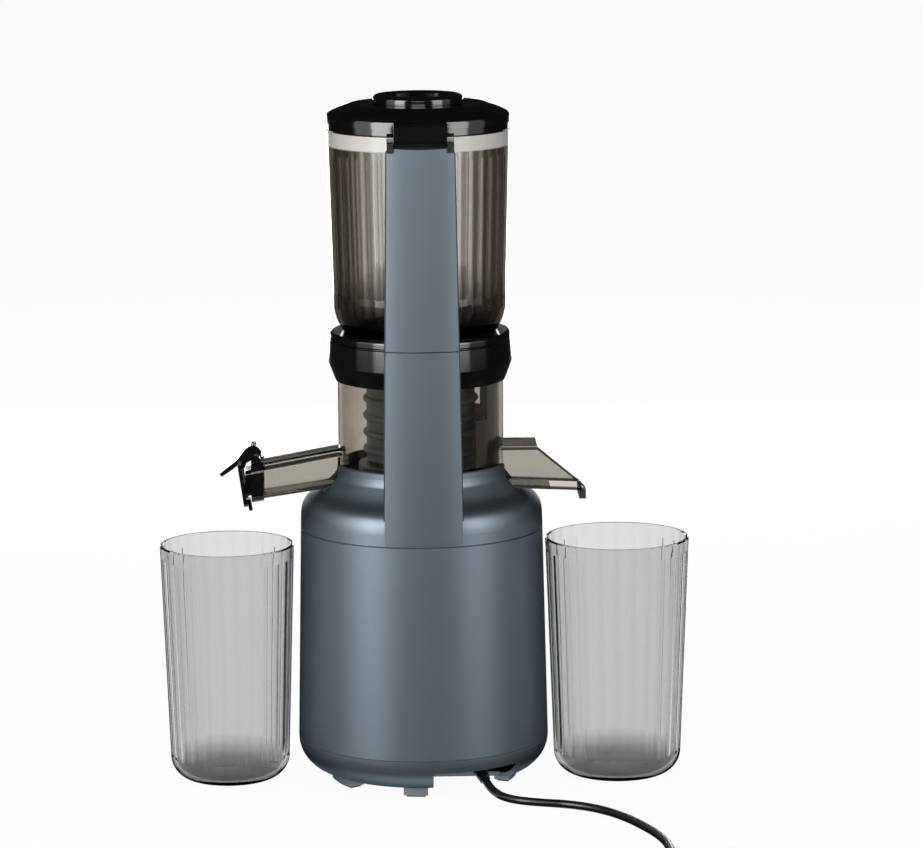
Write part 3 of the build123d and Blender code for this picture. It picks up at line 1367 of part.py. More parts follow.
for name, x, rim, low, height in (
    ("juice_cup", juice_cup_x, juice_cup_rim, juice_cup_low, juice_cup_height),
    ("pulp_cup", pulp_cup_x, pulp_cup_rim, pulp_cup_low, pulp_cup_height),
):
    with BuildPart() as cup_part:
        add(cup(x, rim, low, height))
    save(cup_part, name)

# ================================================================ control knob and electronics
wall_inner_y = -base_radius(knob_height) + shell_wall + 1.6
shaft_start = knob_stand - 0.6
with BuildPart() as control_knob:
    with BuildSketch(knob_plane):
        Circle(knob_radius)
    extrude(amount=-(knob_stand - 0.5))
    fillet(control_knob.edges().group_by(Axis.Y)[0], 1.2)
    with BuildSketch(knob_plane.offset(-shaft_start)):
        Circle(knob_shaft_radius)
    extrude(amount=-(wall_inner_y - knob_face_y - shaft_start + 2))
    # pointer bar across the face
    with BuildSketch(knob_plane):
        with Locations((0, 1)):
            SlotOverall(2 * knob_radius - 8, 5.0, rotation=90)
    extrude(amount=-0.8, mode=Mode.SUBTRACT)
save(control_knob, "control_knob")

switch_depth = 16.0
with BuildPart() as selector_switch:
    switch_face = Plane(origin=(0, wall_inner_y, knob_height), x_dir=(1, 0, 0), z_dir=(0, -1, 0))
    with BuildSketch(switch_face):
        RectangleRounded(26, 26, 2)
    extrude(amount=-switch_depth)
    with BuildSketch(switch_face):
        Circle(6.0)
    extrude(amount=1.1)
    with BuildSketch(switch_face):
        Circle(knob_shaft_radius + shaft_play)
    extrude(amount=-6, mode=Mode.SUBTRACT)
    with BuildSketch(switch_face):
        Circle(knob_shaft_radius + shaft_play)
    extrude(amount=2, mode=Mode.SUBTRACT)
save(selector_switch, "selector_switch")

board_low = foot_height + shell_wall
board_width, board_height, board_thickness = 52.0, 66.0, 1.6
board_y = -(base_low_radius - 27.8)
with BuildPart() as control_board:
    with Locations((0, board_y, board_low)):
        Box(board_width, board_thickness, board_height, align=(Align.CENTER, Align.CENTER, Align.MIN))
    components = ((-17, 12, 16, 14, 12), (3, 10, 12, 12, 22), (18, 12, 14, 16, 18), (-14, 40, 20, 10, 16))
    for x, z, width, depth, height in components:
        with Locations((x, board_y + board_thickness / 2 - 0.1, board_low + z)):
            Box(width, depth, height, align=(Align.CENTER, Align.MIN, Align.MIN))
save(control_board, "control_board")

interlock_width, interlock_depth, interlock_height = 20.0, 10.0, 12.0
interlock_y = -(neck_bore - 9.8)
with BuildPart() as interlock_switch:
    with Locations((0, interlock_y, deck_top - deck_thickness)):
        Box(interlock_width, interlock_depth, interlock_height,
            align=(Align.CENTER, Align.CENTER, Align.MAX))
save(interlock_switch, "interlock_switch")

screw_circle_radius = foot_inner_radius - 4.5
screw_head_radius, screw_head_height = 3.2, 1.4
screw_angles = (54, 200, 270, 335)
with BuildPart() as base_screws:
    for angle in screw_angles:
        x, y, _ = polar(screw_circle_radius, angle)
        add(cylinder(screw_head_radius, foot_height - screw_head_height, foot_height, x, y))
save(base_screws, "base_screws")

# ================================================================ cord
with BuildPart() as cord_gland:
    with BuildSketch(gland_plane):
        Circle(cord_diameter / 2 + 0.7)
    with BuildSketch(gland_plane.offset(gland_length - 11)):
        Circle(gland_root_radius)
    loft()
    with BuildSketch(gland_plane.offset(gland_length - 11)):
        Circle(gland_root_radius)
    extrude(amount=11)
    with BuildSketch(gland_plane.offset(gland_length - gland_flange)):
        Circle(gland_flange_radius)
    extrude(amount=gland_flange)
    with BuildSketch(gland_plane.offset(-1)):
        Circle(cord_diameter / 2)
    extrude(amount=gland_pocket + 1, mode=Mode.SUBTRACT)
save(cord_gland, "cord_gland")

cord_low = cord_diameter / 2 + 0.05
coil_outer = coil_mean_radius + coil_turns_wide * cord_diameter / 2
coil_height = coil_layers * cord_diameter
entry_radius = coil_outer - cord_diameter / 2
route = [
    cord_start,
    tuple(Vector(*cord_start) + 10.3 * Vector(*gland_tilt)),
    (-46.5, 70.8, 4.2),
    (-53.0, 78.0, cord_low),
    (-63.0, 86.0, cord_low),
    (-77.0, 91.0, cord_low),
    (-94.0, 96.0, cord_low),
    (-112.0, 107.5, cord_low),
    (-127.0, 127.0, cord_low),
    (-139.0, 152.0, cord_low),
    (-149.0, 180.0, cord_low),
    (-152.0, 208.0, cord_low),
    (coil_x + entry_radius, coil_y - 29.0, cord_low),
    (coil_x + entry_radius, coil_y, cord_low),
]


def corner_radii(points):
    """The largest tangent arc that each corner of a route has room for."""
    radii = []
    for before, here, after in zip(points, points[1:], points[2:]):
        first, second = Vector(here) - Vector(before), Vector(after) - Vector(here)
        turn = radians(first.get_angle(second))
        radii.append(0.45 * min(first.length, second.length) / tan(turn / 2))
    return radii


radii = corner_radii(route)
print("cord radii", [round(value, 1) for value in radii])
with BuildPart() as power_cord:
    with BuildLine():
        path = FilletPolyline(*route, radius=radii)
    with BuildSketch(Plane(origin=route[0], z_dir=Vector(route[1]) - Vector(route[0]))):
        Circle(cord_diameter / 2)
    sweep(path=path)
section = pi * cord_diameter**2 / 4
print("cord length", round(path.length, 1), "volume over section times length",
      round(power_cord.part.volume / (section * path.length), 4))
save(power_cord, "power_cord")

with BuildPart() as cord_coil:
    with BuildSketch(Plane.XZ.offset(-coil_y)):
        with Locations((coil_x + coil_mean_radius, coil_height / 2 + 0.05)):
            RectangleRounded(coil_turns_wide * cord_diameter, coil_height, cord_diameter * 0.45)
    revolve(axis=Axis((coil_x, coil_y, 0), (0, 0, 1)))
    # pockets where the cord runs into the outer turn and leaves it for the plug
    with Locations((coil_x + entry_radius + 1.5, coil_y, 0)):
        Box(cord_diameter + 6, 60, cord_diameter + 0.4, align=(Align.CENTER, Align.MAX, Align.MIN),
            mode=Mode.SUBTRACT)
    with Locations((coil_x, coil_y + entry_radius + 3, 0)):
        Box(60, 18, 2 * coil_height, align=(Align.MIN, Align.CENTER, Align.CENTER),
            mode=Mode.SUBTRACT)
save(cord_coil, "cord_coil")

relief_length = 34.0
plug_length = 30.0
plug_width, plug_height = 35.3, 13.7
plug_pin_gap, plug_pin_length = 18.6, 19.0
with BuildPart() as mains_plug:
    relief_start = (coil_x, coil_y + entry_radius, plug_height / 2 + 0.1)
    relief = Plane(origin=relief_start, x_dir=(0, 1, 0), z_dir=(1, 0, 0))
    with BuildSketch(relief):
        Circle(cord_diameter / 2 + 0.6)
    with BuildSketch(relief.offset(relief_length)):
        Circle(5.4)
    loft()
    with BuildSketch(relief.offset(relief_length - 1)):
        RectangleRounded(15.0, 12.6, 4)
    with BuildSketch(relief.offset(relief_length + plug_length)):
        RectangleRounded(plug_width, plug_height, 5)
    loft()
    with BuildSketch(relief.offset(relief_length + plug_length)):
        with Locations((-plug_pin_gap / 2, 0), (plug_pin_gap / 2, 0)):
            Circle(2.0)
    extrude(amount=plug_pin_length)
save(mains_plug, "mains_plug")
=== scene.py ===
# %% [markdown]
# # Dressing a cold press juicer
# The juicer's solids come from a CAD model, each named piece in its place. This lesson gives
# them their looks: a camera, soft light, finishes made from nodes, and finer pieces where a
# plain solid isn't enough. The scene measures in metres. The sizes of small pieces are
# written in millimetres, and MM turns them into metres.

# %% Load the solids
import bpy
import json
from math import atan2, cos, degrees, hypot, pi, radians, sin
from mathutils import Euler, Matrix, Vector


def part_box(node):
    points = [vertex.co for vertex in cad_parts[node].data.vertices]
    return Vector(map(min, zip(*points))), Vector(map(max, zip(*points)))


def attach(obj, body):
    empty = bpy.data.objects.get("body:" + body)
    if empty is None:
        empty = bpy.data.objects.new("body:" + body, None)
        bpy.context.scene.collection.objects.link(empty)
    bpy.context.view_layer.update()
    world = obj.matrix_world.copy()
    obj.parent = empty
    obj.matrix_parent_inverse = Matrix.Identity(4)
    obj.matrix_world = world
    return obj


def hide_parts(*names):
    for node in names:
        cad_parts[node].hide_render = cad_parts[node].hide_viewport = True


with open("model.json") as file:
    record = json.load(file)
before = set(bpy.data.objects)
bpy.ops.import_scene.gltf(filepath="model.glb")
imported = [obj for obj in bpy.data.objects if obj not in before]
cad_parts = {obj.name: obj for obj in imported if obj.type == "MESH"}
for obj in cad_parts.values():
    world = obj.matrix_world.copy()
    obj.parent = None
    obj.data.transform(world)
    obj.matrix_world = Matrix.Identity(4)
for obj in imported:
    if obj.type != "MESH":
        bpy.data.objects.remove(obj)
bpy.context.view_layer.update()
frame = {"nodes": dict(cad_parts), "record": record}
nodes = frame["nodes"]
MM = 0.001

# %% [markdown]
# ## The camera
# A long lens from well back keeps the tall juicer's proportions, and its upright lines stay
# upright. The camera stands behind the machine, a little above it, and looks down by ten
# degrees. Its angles are in degrees, its place in metres.

# %% Camera
LENS = 160.0
SENSOR_WIDTH = 36.0
VIEW_DEPTH = 50.0
CAMERA_SIDE = 0.047
CAMERA_DISTANCE = 2.7057
CAMERA_HEIGHT = 0.713
CAMERA_PITCH = 9.9
CAMERA_YAW = -1.573
CAMERA_ROLL = -0.43

camera_data = bpy.data.cameras.new("camera")
camera_data.lens = LENS
camera_data.sensor_width = SENSOR_WIDTH
camera_data.clip_end = VIEW_DEPTH
camera = bpy.data.objects.new("camera", camera_data)
bpy.context.scene.collection.objects.link(camera)
aim = Euler((radians(90 - CAMERA_PITCH), 0, radians(180 + CAMERA_YAW))).to_matrix()
roll = Matrix.Rotation(radians(CAMERA_ROLL), 3, "Z")
camera_place = Matrix.Translation((CAMERA_SIDE, CAMERA_DISTANCE, CAMERA_HEIGHT))
camera.matrix_world = camera_place @ (aim @ roll).to_4x4()
bpy.context.scene.camera = camera
print("camera at", tuple(round(value, 3) for value in camera.location))

# %% [markdown]
# ## The mains cord's route
# The cord leaves the base through a tapered sleeve, drops to the worktop and lies in a
# loose curve. The rest is wound up, as it is stored: inwards on the worktop, then outwards
# again in a second layer that rests on the first. The loose part is a list of given points.
# The coil is regular, so a loop works out its points.

# %% Route and coil
CORD_DIAMETER = 5.5
CORD_GAP = 0.05
CORD_LOW = CORD_DIAMETER / 2 + CORD_GAP
COIL_CENTRE = (-186.0, 266.0)
COIL_RADIUS = 31.0
COIL_OUTER = COIL_RADIUS + 0.7 * CORD_DIAMETER
COIL_TURNS = 4.25
POINTS_PER_TURN = 16
LAYER_RISE = 0.93 * CORD_DIAMETER
CLIMB_LEAD = 0.15
CLIMB_TURNS = 0.3
cord_route = [
    (-39.2, 52.5, 10.1), (-41.775, 61.976, 7.01), (-46.5, 70.8, 4.2), (-53.0, 78.0, CORD_LOW),
    (-63.0, 86.0, CORD_LOW), (-77.0, 91.0, CORD_LOW), (-94.0, 96.0, CORD_LOW),
    (-112.0, 107.5, CORD_LOW), (-127.0, 127.0, CORD_LOW), (-139.0, 152.0, CORD_LOW),
    (-149.0, 180.0, CORD_LOW), (-152.0, 208.0, CORD_LOW), (-151.15, 237.0, CORD_LOW),
    (-151.15, 266.0, CORD_LOW),
]


def coil_points(turns, per_turn):
    """Points of the wound part: inwards in the lower layer, then outwards on top of it."""
    points = []
    layer_turns = turns / 2
    inward = CORD_DIAMETER * layer_turns
    for step in range(1, int(turns * per_turn) + 1):
        turned_by = step / per_turn
        angle = 2 * pi * turned_by
        wound = turned_by / layer_turns
        radius = COIL_OUTER - inward * min(wound, 2 - wound)
        climb = min(1.0, max(0.0, (turned_by - layer_turns + CLIMB_LEAD) / CLIMB_TURNS))
        points.append((COIL_CENTRE[0] + radius * cos(angle), COIL_CENTRE[1] + radius * sin(angle),
                       CORD_LOW + LAYER_RISE * climb))
    return points


cord_points = cord_route + coil_points(COIL_TURNS, POINTS_PER_TURN)
print("cord route of", len(cord_points), "points")

# %% [markdown]
# ## The cord itself
# A cord is one thing, so it is one smooth curve, and the route's points pull it into shape.
# A NURBS spline rounds every bend by itself, which no row of straight pieces does. Each
# point's radius carries the cord's real thickness.

# %% Cord
curve = bpy.data.curves.new("mains_cord", "CURVE")
curve.dimensions = "3D"
spline = curve.splines.new("NURBS")
spline.points.add(len(cord_points) - 1)
for point, place in zip(spline.points, cord_points):
    point.co = (*[value * MM for value in place], 1.0)
    point.radius = CORD_DIAMETER / 2 * MM
spline.order_u = 3
spline.use_endpoint_u = True
spline.resolution_u = 8
curve.bevel_depth = 1.0
curve.bevel_resolution = 6
curve.use_fill_caps = True
mains_cord = bpy.data.objects.new("mains_cord", curve)
bpy.context.scene.collection.objects.link(mains_cord)
cord_start = Vector(cord_route[0]) * MM
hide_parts("power_cord", "cord_coil")
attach(mains_cord, "base")

# %% [markdown]
# ## Round pieces, ring by ring
# A turned piece grows like clay on a wheel: a disc is extruded a step at a time, and each
# new ring is made wider or narrower. Made upright on the Z axis it is easy to measure, and
# afterwards it is turned and moved to where it belongs. Its origin stays at the origin of
# the whole model, so that it moves with its body as the solids do.

# %% Turning and placing
SMOOTH_ANGLE = 35.0


def turned(name, profile, segments=48):
    """A closed round piece on the Z axis, from (radius, height) pairs in millimetres."""
    bpy.ops.object.select_all(action="DESELECT")
    first_radius, first_height = profile[0]
    bpy.ops.mesh.primitive_circle_add(vertices=segments, radius=first_radius * MM, fill_type="NGON",
                                      location=(0, 0, first_height * MM))
    piece = bpy.context.object
    piece.name = piece.data.name = name
    bpy.ops.object.transform_apply(location=True, rotation=False, scale=False)
    bpy.ops.object.mode_set(mode="EDIT")
    bpy.ops.mesh.select_mode(type="FACE")
    bpy.ops.mesh.select_all(action="SELECT")
    for (radius, height), (next_radius, next_height) in zip(profile, profile[1:]):
        rise = (0, 0, (next_height - height) * MM)
        bpy.ops.mesh.extrude_region_move(TRANSFORM_OT_translate={"value": rise})
        share = next_radius / radius
        bpy.ops.transform.resize(value=(share, share, 1.0), center_override=(0, 0, next_height * MM))
    bpy.ops.mesh.select_all(action="SELECT")
    bpy.ops.mesh.normals_make_consistent(inside=False)
    bpy.ops.object.mode_set(mode="OBJECT")
    bpy.ops.object.shade_smooth_by_angle(angle=radians(SMOOTH_ANGLE))
    return piece


def settled(piece, turn, place):
    """Turns and moves a piece to its place, and keeps its origin at the model's origin."""
    piece.matrix_world = Matrix.Translation(place) @ turn.to_matrix().to_4x4()
    bpy.ops.object.select_all(action="DESELECT")
    bpy.context.view_layer.objects.active = piece
    piece.select_set(True)
    bpy.ops.object.transform_apply(location=True, rotation=True, scale=True)
    return piece


print("turning ready")

# %% [markdown]
# ## The strain relief
# Where a cord leaves a housing, a rubber sleeve keeps it from kinking. Its ribs get thinner
# towards the tip, so it bends more and more easily. The sleeve starts at a plate inside the
# base and ends a little way down the cord. Each rib is four more rings of the profile.

# %% Ribbed strain relief
GLAND_DIRECTION = Vector((-0.25, 0.92, -0.30)).normalized()
GLAND_LENGTH = 26.0
GLAND_REACH = 3.0
PLATE_RADIUS = 6.0
PLATE_LENGTH = 1.7
ROOT_RADIUS = 4.95
TIP_RADIUS = 3.7
MOUTH_RADIUS = 2.9
STEP_SLOPE = 0.1
RIBS = 5
RIBS_START = 11.0
RIB_SHARE = 0.6
GROOVE_DEPTH = 0.85
DRAFT = 0.05
FLANK = 0.02

gland_profile = [(PLATE_RADIUS, 0.0), (PLATE_RADIUS, PLATE_LENGTH),
                 (ROOT_RADIUS, PLATE_LENGTH + STEP_SLOPE),
                 (ROOT_RADIUS, RIBS_START - 2 * STEP_SLOPE)]
rib_pitch = (GLAND_LENGTH - RIBS_START) / RIBS
for rib in range(RIBS):
    low = RIBS_START + rib * rib_pitch
    wide = ROOT_RADIUS - (ROOT_RADIUS - TIP_RADIUS) * rib / (RIBS - 1)
    gland_profile += [
        (wide, low),
        (wide - DRAFT, low + RIB_SHARE * rib_pitch),
        (wide - GROOVE_DEPTH, low + (RIB_SHARE + FLANK) * rib_pitch),
        (wide - GROOVE_DEPTH - DRAFT, low + (1 - FLANK) * rib_pitch),
    ]
gland_profile.append((MOUTH_RADIUS, GLAND_LENGTH))
cord_gland = turned("cord_gland_ribbed", gland_profile)
gland_back = cord_start + (GLAND_REACH - GLAND_LENGTH) * MM * GLAND_DIRECTION
settled(cord_gland, GLAND_DIRECTION.to_track_quat("Z", "Y"), gland_back)
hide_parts("cord_gland")
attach(cord_gland, "base")
print("strain relief with", RIBS, "ribs and", len(cord_gland.data.polygons), "faces")

# %% [markdown]
# ## Blocks with soft edges
# Moulded bars and strips have no sharp edges: a small bevel catches the light along them.
# A cube is given its size, the size is applied, and then all its edges are bevelled. Joining
# makes one piece out of several that belong together.

# %% Blocks and joins
def block(name, size, centre, rounding):
    """A box with rounded edges, its size and centre in millimetres."""
    bpy.ops.object.select_all(action="DESELECT")
    bpy.ops.mesh.primitive_cube_add(size=1.0, location=[value * MM for value in centre])
    piece = bpy.context.object
    piece.name = piece.data.name = name
    piece.scale = [value * MM for value in size]
    bpy.ops.object.transform_apply(location=True, rotation=False, scale=True)
    bpy.ops.object.mode_set(mode="EDIT")
    bpy.ops.mesh.select_all(action="SELECT")
    bpy.ops.mesh.bevel(offset=rounding * MM, segments=2, affect="EDGES")
    bpy.ops.object.mode_set(mode="OBJECT")
    bpy.ops.object.shade_smooth_by_angle(angle=radians(SMOOTH_ANGLE))
    return piece


def joined(first, *others):
    """One piece out of several, with the name of the first."""
    bpy.ops.object.select_all(action="DESELECT")
    for piece in (first, *others):
        piece.select_set(True)
    bpy.context.view_layer.objects.active = first
    bpy.ops.object.join()
    return first


print("blocks ready")

# %% [markdown]
# ## The control knob
# The knob has a milled grip, a dished face and a bar across it to hold. The body is turned.
# The grip is cut by taking every second face of the rim and pushing it in. Its size and
# place are those of the plain solid that it stands for, so it fits the switch behind it.

# %% Knob with grip and bar
KNOB_HEAD = 3.1
KNOB_SHAFT = 3.0
KNOB_DISH = 0.9
HEAD_STEP = 0.01
RIM_ROUNDING = 1.0
RIM_FACET = 0.3
RIM_WIDTH = 2.2
DISH_FLANK = 0.6
GRIP_FACES = 72
GRIP_DEPTH = 0.45
BAR = (4.4, 25.0, 0.9)
BAR_SINK = 0.08
BAR_ROUNDING = 0.3
OUTWARD = Vector((0, -1, 0))
knob_low, knob_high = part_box("control_knob")
KNOB_RADIUS = knob_high.x / MM
KNOB_LENGTH = (knob_high.y - knob_low.y) / MM
KNOB_HEIGHT = (knob_low.z + knob_high.z) / 2

knob_profile = [
    (KNOB_SHAFT, 0.0),
    (KNOB_SHAFT, KNOB_LENGTH - KNOB_HEAD),
    (KNOB_RADIUS, KNOB_LENGTH - KNOB_HEAD + HEAD_STEP),
    (KNOB_RADIUS, KNOB_LENGTH - RIM_ROUNDING),
    (KNOB_RADIUS - RIM_FACET, KNOB_LENGTH - RIM_FACET),
    (KNOB_RADIUS - RIM_ROUNDING, KNOB_LENGTH),
    (KNOB_RADIUS - RIM_WIDTH, KNOB_LENGTH),
    (KNOB_RADIUS - RIM_WIDTH - DISH_FLANK, KNOB_LENGTH - KNOB_DISH),
]
knob = turned("control_knob_grip", knob_profile, GRIP_FACES)
for face in knob.data.polygons:
    upright = abs(face.normal.z) < 0.1
    outermost = hypot(face.center.x, face.center.y) > (KNOB_RADIUS - 0.2) * MM
    count = round(degrees(atan2(face.center.y, face.center.x)) * GRIP_FACES / 360 - 0.5)
    face.select = upright and outermost and count % 2 == 0
bpy.ops.object.mode_set(mode="EDIT")
bpy.ops.mesh.extrude_faces_move(TRANSFORM_OT_shrink_fatten={"value": -GRIP_DEPTH * MM})
bpy.ops.object.mode_set(mode="OBJECT")

bar_middle = KNOB_LENGTH - BAR[2] / 2 - BAR_SINK
knob = joined(knob, block("knob_bar", BAR, (0, 0, bar_middle), BAR_ROUNDING))
to_front = OUTWARD.to_track_quat("Z", "Y")
knob_place = Vector((0, knob_high.y, KNOB_HEIGHT))
settled(knob, to_front, knob_place)
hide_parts("control_knob")
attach(knob, "knob")
print("knob of", len(knob.data.polygons), "faces")

# %% [markdown]
# ## The knob's white mark
# A short white inlay at the end of the bar shows where the knob points. It stands a hair
# above the bar, so that the two surfaces don't lie in one plane and flicker.

# %% Knob mark
MARK = (1.3, 6.0, 0.3)
MARK_INSET = 4.2
MARK_SINK = 0.16
MARK_ROUNDING = 0.05
mark_middle = (0, BAR[1] / 2 - MARK_INSET, KNOB_LENGTH - MARK_SINK)
mark = settled(block("knob_mark", MARK, mark_middle, MARK_ROUNDING), to_front, knob_place)
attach(mark, "knob")
print("mark", tuple(round(value / MM, 1) for value in mark.dimensions))

# %% [markdown]
# ## Position dots on the housing
# Three raised dots above the knob mark its positions: reverse, off and on. They stand on a
# circle round the knob, and each one points straight out of the round wall behind it.

# %% Position dots
DOT_RADIUS = 0.9
DOT_ROOT = 1.2
DOT_RISE = 0.1
DOT_CIRCLE = 21.5
DOT_ANGLES = (-45, 0, 45)
KNOB_STAND = 3.6
wall_radius = -knob_low.y / MM - KNOB_STAND
dot_profile = [(DOT_RADIUS, -DOT_ROOT), (DOT_RADIUS, 0.2 * DOT_RISE), (0.7 * DOT_RADIUS, DOT_RISE)]
dots = []
for angle in DOT_ANGLES:
    across, upward = DOT_CIRCLE * sin(radians(angle)), DOT_CIRCLE * cos(radians(angle))
    radial = Vector((across, -(wall_radius ** 2 - across ** 2) ** 0.5, 0)).normalized()
    place = radial * wall_radius * MM + Vector((0, 0, KNOB_HEIGHT + upward * MM))
    dots.append(settled(turned("knob_dot", dot_profile, 24), radial.to_track_quat("Z", "Y"), place))
knob_dots = joined(*dots)
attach(knob_dots, "base")
print(len(dots), "dots of", len(knob_dots.data.polygons), "faces")

# %% [markdown]
# ## The column's painted shade lines
# A thin line of shade runs along both sides of the column, and here it is painted: each line
# is a slim dark block, whose upper end is moved inward, because the column narrows on its
# way up. The other side's line is a mirrored copy. The column parts where the hopper lifts
# off, so each half has its own lines, which ride with its own body.

# %% Column edge lines
LINE_WIDTH = 1.2
LINE_DEPTH = 1.8
LINE_ROUNDING = 0.3
LINE_STAND = 0.75
LINE_SINK = 1.3
LINE_FOOT = 190.0
SPLIT_GAP = 0.3
HINGE_GAP = 4.0
COLUMN_LEAN = 0.0151
upper_low, upper_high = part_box("upper_column")
lower_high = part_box("upper_shell")[1]


def column_edge(height):
    """Half the column's width at a height, in millimetres."""
    return upper_high.x / MM - (height - upper_low.z / MM) * COLUMN_LEAN


def shade_line(name, low, high, body):
    """Two mirrored dark strips of painted shade between two heights, riding with a body."""
    middle = (low + high) / 2
    across = column_edge(low) + LINE_STAND - LINE_WIDTH / 2
    depth = ((upper_high.y / MM) ** 2 - column_edge(middle) ** 2) ** 0.5 - LINE_SINK
    line = block(name, (LINE_WIDTH, LINE_DEPTH, high - low), (across, depth, middle), LINE_ROUNDING)
    bpy.ops.object.mode_set(mode="EDIT")
    bpy.ops.mesh.select_all(action="DESELECT")
    bpy.ops.object.mode_set(mode="OBJECT")
    for vertex in line.data.vertices:
        vertex.select = vertex.co.z > middle * MM
    bpy.ops.object.mode_set(mode="EDIT")
    bpy.ops.mesh.select_mode(type="VERT")
    bpy.ops.transform.translate(value=((column_edge(high) - column_edge(low)) * MM, 0, 0))
    bpy.ops.object.mode_set(mode="OBJECT")
    bpy.ops.object.duplicate()
    other = bpy.context.object
    bpy.ops.transform.mirror(constraint_axis=(True, False, False), center_override=(0, 0, 0))
    bpy.ops.object.transform_apply(location=True, rotation=True, scale=True)
    bpy.ops.object.mode_set(mode="EDIT")
    bpy.ops.mesh.select_all(action="SELECT")
    bpy.ops.mesh.normals_make_consistent(inside=False)
    bpy.ops.object.mode_set(mode="OBJECT")
    pair = joined(line, other)
    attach(pair, body)
    return pair


# Strips of painted shade along the column's sides, upper and lower.
shade_lines = [
    shade_line("column_shade_line_upper", upper_low.z / MM + SPLIT_GAP, upper_high.z / MM - HINGE_GAP, "hopper"),
    shade_line("column_shade_line_lower", LINE_FOOT, lower_high.z / MM - SPLIT_GAP, "base"),
]
print("edge lines", [tuple(round(value / MM, 1) for value in line.dimensions) for line in shade_lines])

# %% [markdown]
# ## The strainer's mesh
# A strainer is a coarse frame with a fine mesh over its windows. The mesh is an open tube
# without caps, close round the frame's wall, and a Solidify modifier gives it the thickness
# of a thin sheet. The wiper's blades still pass it with room to spare.

# %% Mesh sleeve
SLEEVE_RADIUS = 36.2
SLEEVE_WALL = 0.15
SLEEVE_SEGMENTS = 128
FOOT_GAP = 0.8
FLANGE_GAP = 2.4
mesh_low, mesh_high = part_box("strainer_mesh")
sleeve_foot, sleeve_top = mesh_low.z + FOOT_GAP * MM, mesh_high.z - FLANGE_GAP * MM
bpy.ops.object.select_all(action="DESELECT")
bpy.ops.mesh.primitive_cylinder_add(vertices=SLEEVE_SEGMENTS, radius=SLEEVE_RADIUS * MM,
                                    depth=sleeve_top - sleeve_foot, end_fill_type="NOTHING",
                                    location=(0, 0, (sleeve_foot + sleeve_top) / 2))
mesh_sleeve = bpy.context.object
mesh_sleeve.name = mesh_sleeve.data.name = "strainer_sleeve"
bpy.ops.object.transform_apply(location=True, rotation=False, scale=False)
bpy.ops.object.modifier_add(type="SOLIDIFY")
solidify = mesh_sleeve.modifiers[0]
solidify.thickness = SLEEVE_WALL * MM
bpy.ops.object.modifier_apply(modifier=solidify.name)
bpy.ops.object.shade_smooth_by_angle(angle=radians(SMOOTH_ANGLE))
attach(mesh_sleeve, "chamber")
print("mesh sleeve", tuple(round(value / MM, 1) for value in mesh_sleeve.dimensions))

# %% [markdown]
# ## Shader arithmetic
# A finish is arithmetic on positions: bands, speckle, a little unevenness. Written as
# Python expressions the arithmetic stays readable, so a small class wraps each socket and
# turns + - * into Math nodes. The reflected forms let a number stand on the left, as in
# 1 - mask.

# %% Values
class Value:
    """A number, vector or shader that a node gives, for use in expressions."""

    def __init__(self, nodes, socket):
        self.nodes, self.socket = nodes, socket

    def calc(self, operation, other=0.0, swap=False):
        """A Math node on this value and another, or on the two the other way round."""
        first, second = (other, self) if swap else (self, other)
        return self.nodes.node("ShaderNodeMath", {"operation": operation}, {0: first, 1: second})

    def __add__(self, other):
        return self.calc("ADD", other)

    def __radd__(self, other):
        return self.calc("ADD", other)

    def __sub__(self, other):
        return self.calc("SUBTRACT", other)

    def __rsub__(self, other):
        return self.calc("SUBTRACT", other, swap=True)

    def __mul__(self, other):
        return self.calc("MULTIPLY", other)

    def __rmul__(self, other):
        return self.calc("MULTIPLY", other)

    def sine(self):
        return self.calc("SINE")

    def above(self, edge):
        """1 where the value is above the edge, and 0 elsewhere."""
        return self.calc("GREATER_THAN", edge)

    def clipped(self):
        """The value, kept between 0 and 1."""
        return self.nodes.node("ShaderNodeClamp", {}, {"Value": self})


print("shader arithmetic ready")

# %% [markdown]
# ## Building node trees
# Every node comes from one method, which takes the node's type, its settings, and the
# values or links of its sockets. The last node of a tree takes the shader. What surrounds
# the juicer often needs two shaders: one for the light that it gives, and another for how
# it looks. Light Path tells them apart by the kind of ray that arrives.

# %% Node trees
SEEN_RAYS = ("Is Camera Ray", "Is Transmission Ray", "Is Glossy Ray")


class Nodes:
    """The node tree of a material or world under construction, which ends in one shader."""

    def __init__(self, owner, ending):
        self.owner, self.ending = owner, ending
        self.owner.use_nodes = True
        self.tree = self.owner.node_tree
        self.tree.nodes.clear()

    def node(self, kind, settings, values, output=0):
        """Any node: its type, its settings, and the values or links of its sockets."""
        made = self.tree.nodes.new(kind)
        for key, value in settings.items():
            if key == "stops":
                self.set_stops(made.color_ramp, value)
            else:
                setattr(made, key, value)
        for key, value in values.items():
            socket = made.inputs[key]
            if isinstance(value, Value):
                self.tree.links.new(value.socket, socket)
            elif hasattr(socket.default_value, "__len__") and len(value) < len(socket.default_value):
                socket.default_value = (*value, 1.0)
            else:
                socket.default_value = value
        return Value(self, made.outputs[output]) if made.outputs else None

    def set_stops(self, ramp, stops):
        """Gives a colour ramp its stops, as (position, colour) pairs."""
        while len(ramp.elements) < len(stops):
            ramp.elements.new(0.5)
        for element, (position, colour) in zip(ramp.elements, stops):
            element.position = position
            element.color = (*colour, 1.0)

    def mixed(self, share, first, second):
        """Two shaders laid over each other, the second one by a share."""
        return self.node("ShaderNodeMixShader", {}, {0: share, 1: first, 2: second})

    def lit_or_seen(self, lit, seen, share):
        """One shader for the light that a thing gives, mixed with another where it is seen."""
        camera, through, mirrored = (self.node("ShaderNodeLightPath", {}, {}, ray) for ray in SEEN_RAYS)
        any_of_them = camera.calc("MAXIMUM", through).calc("MAXIMUM", mirrored)
        return self.done(self.mixed(any_of_them * share, lit, seen))

    def done(self, shader):
        """The material or world, with this shader as its surface."""
        self.node(self.ending, {}, {"Surface": shader})
        return self.owner


print("node trees ready")

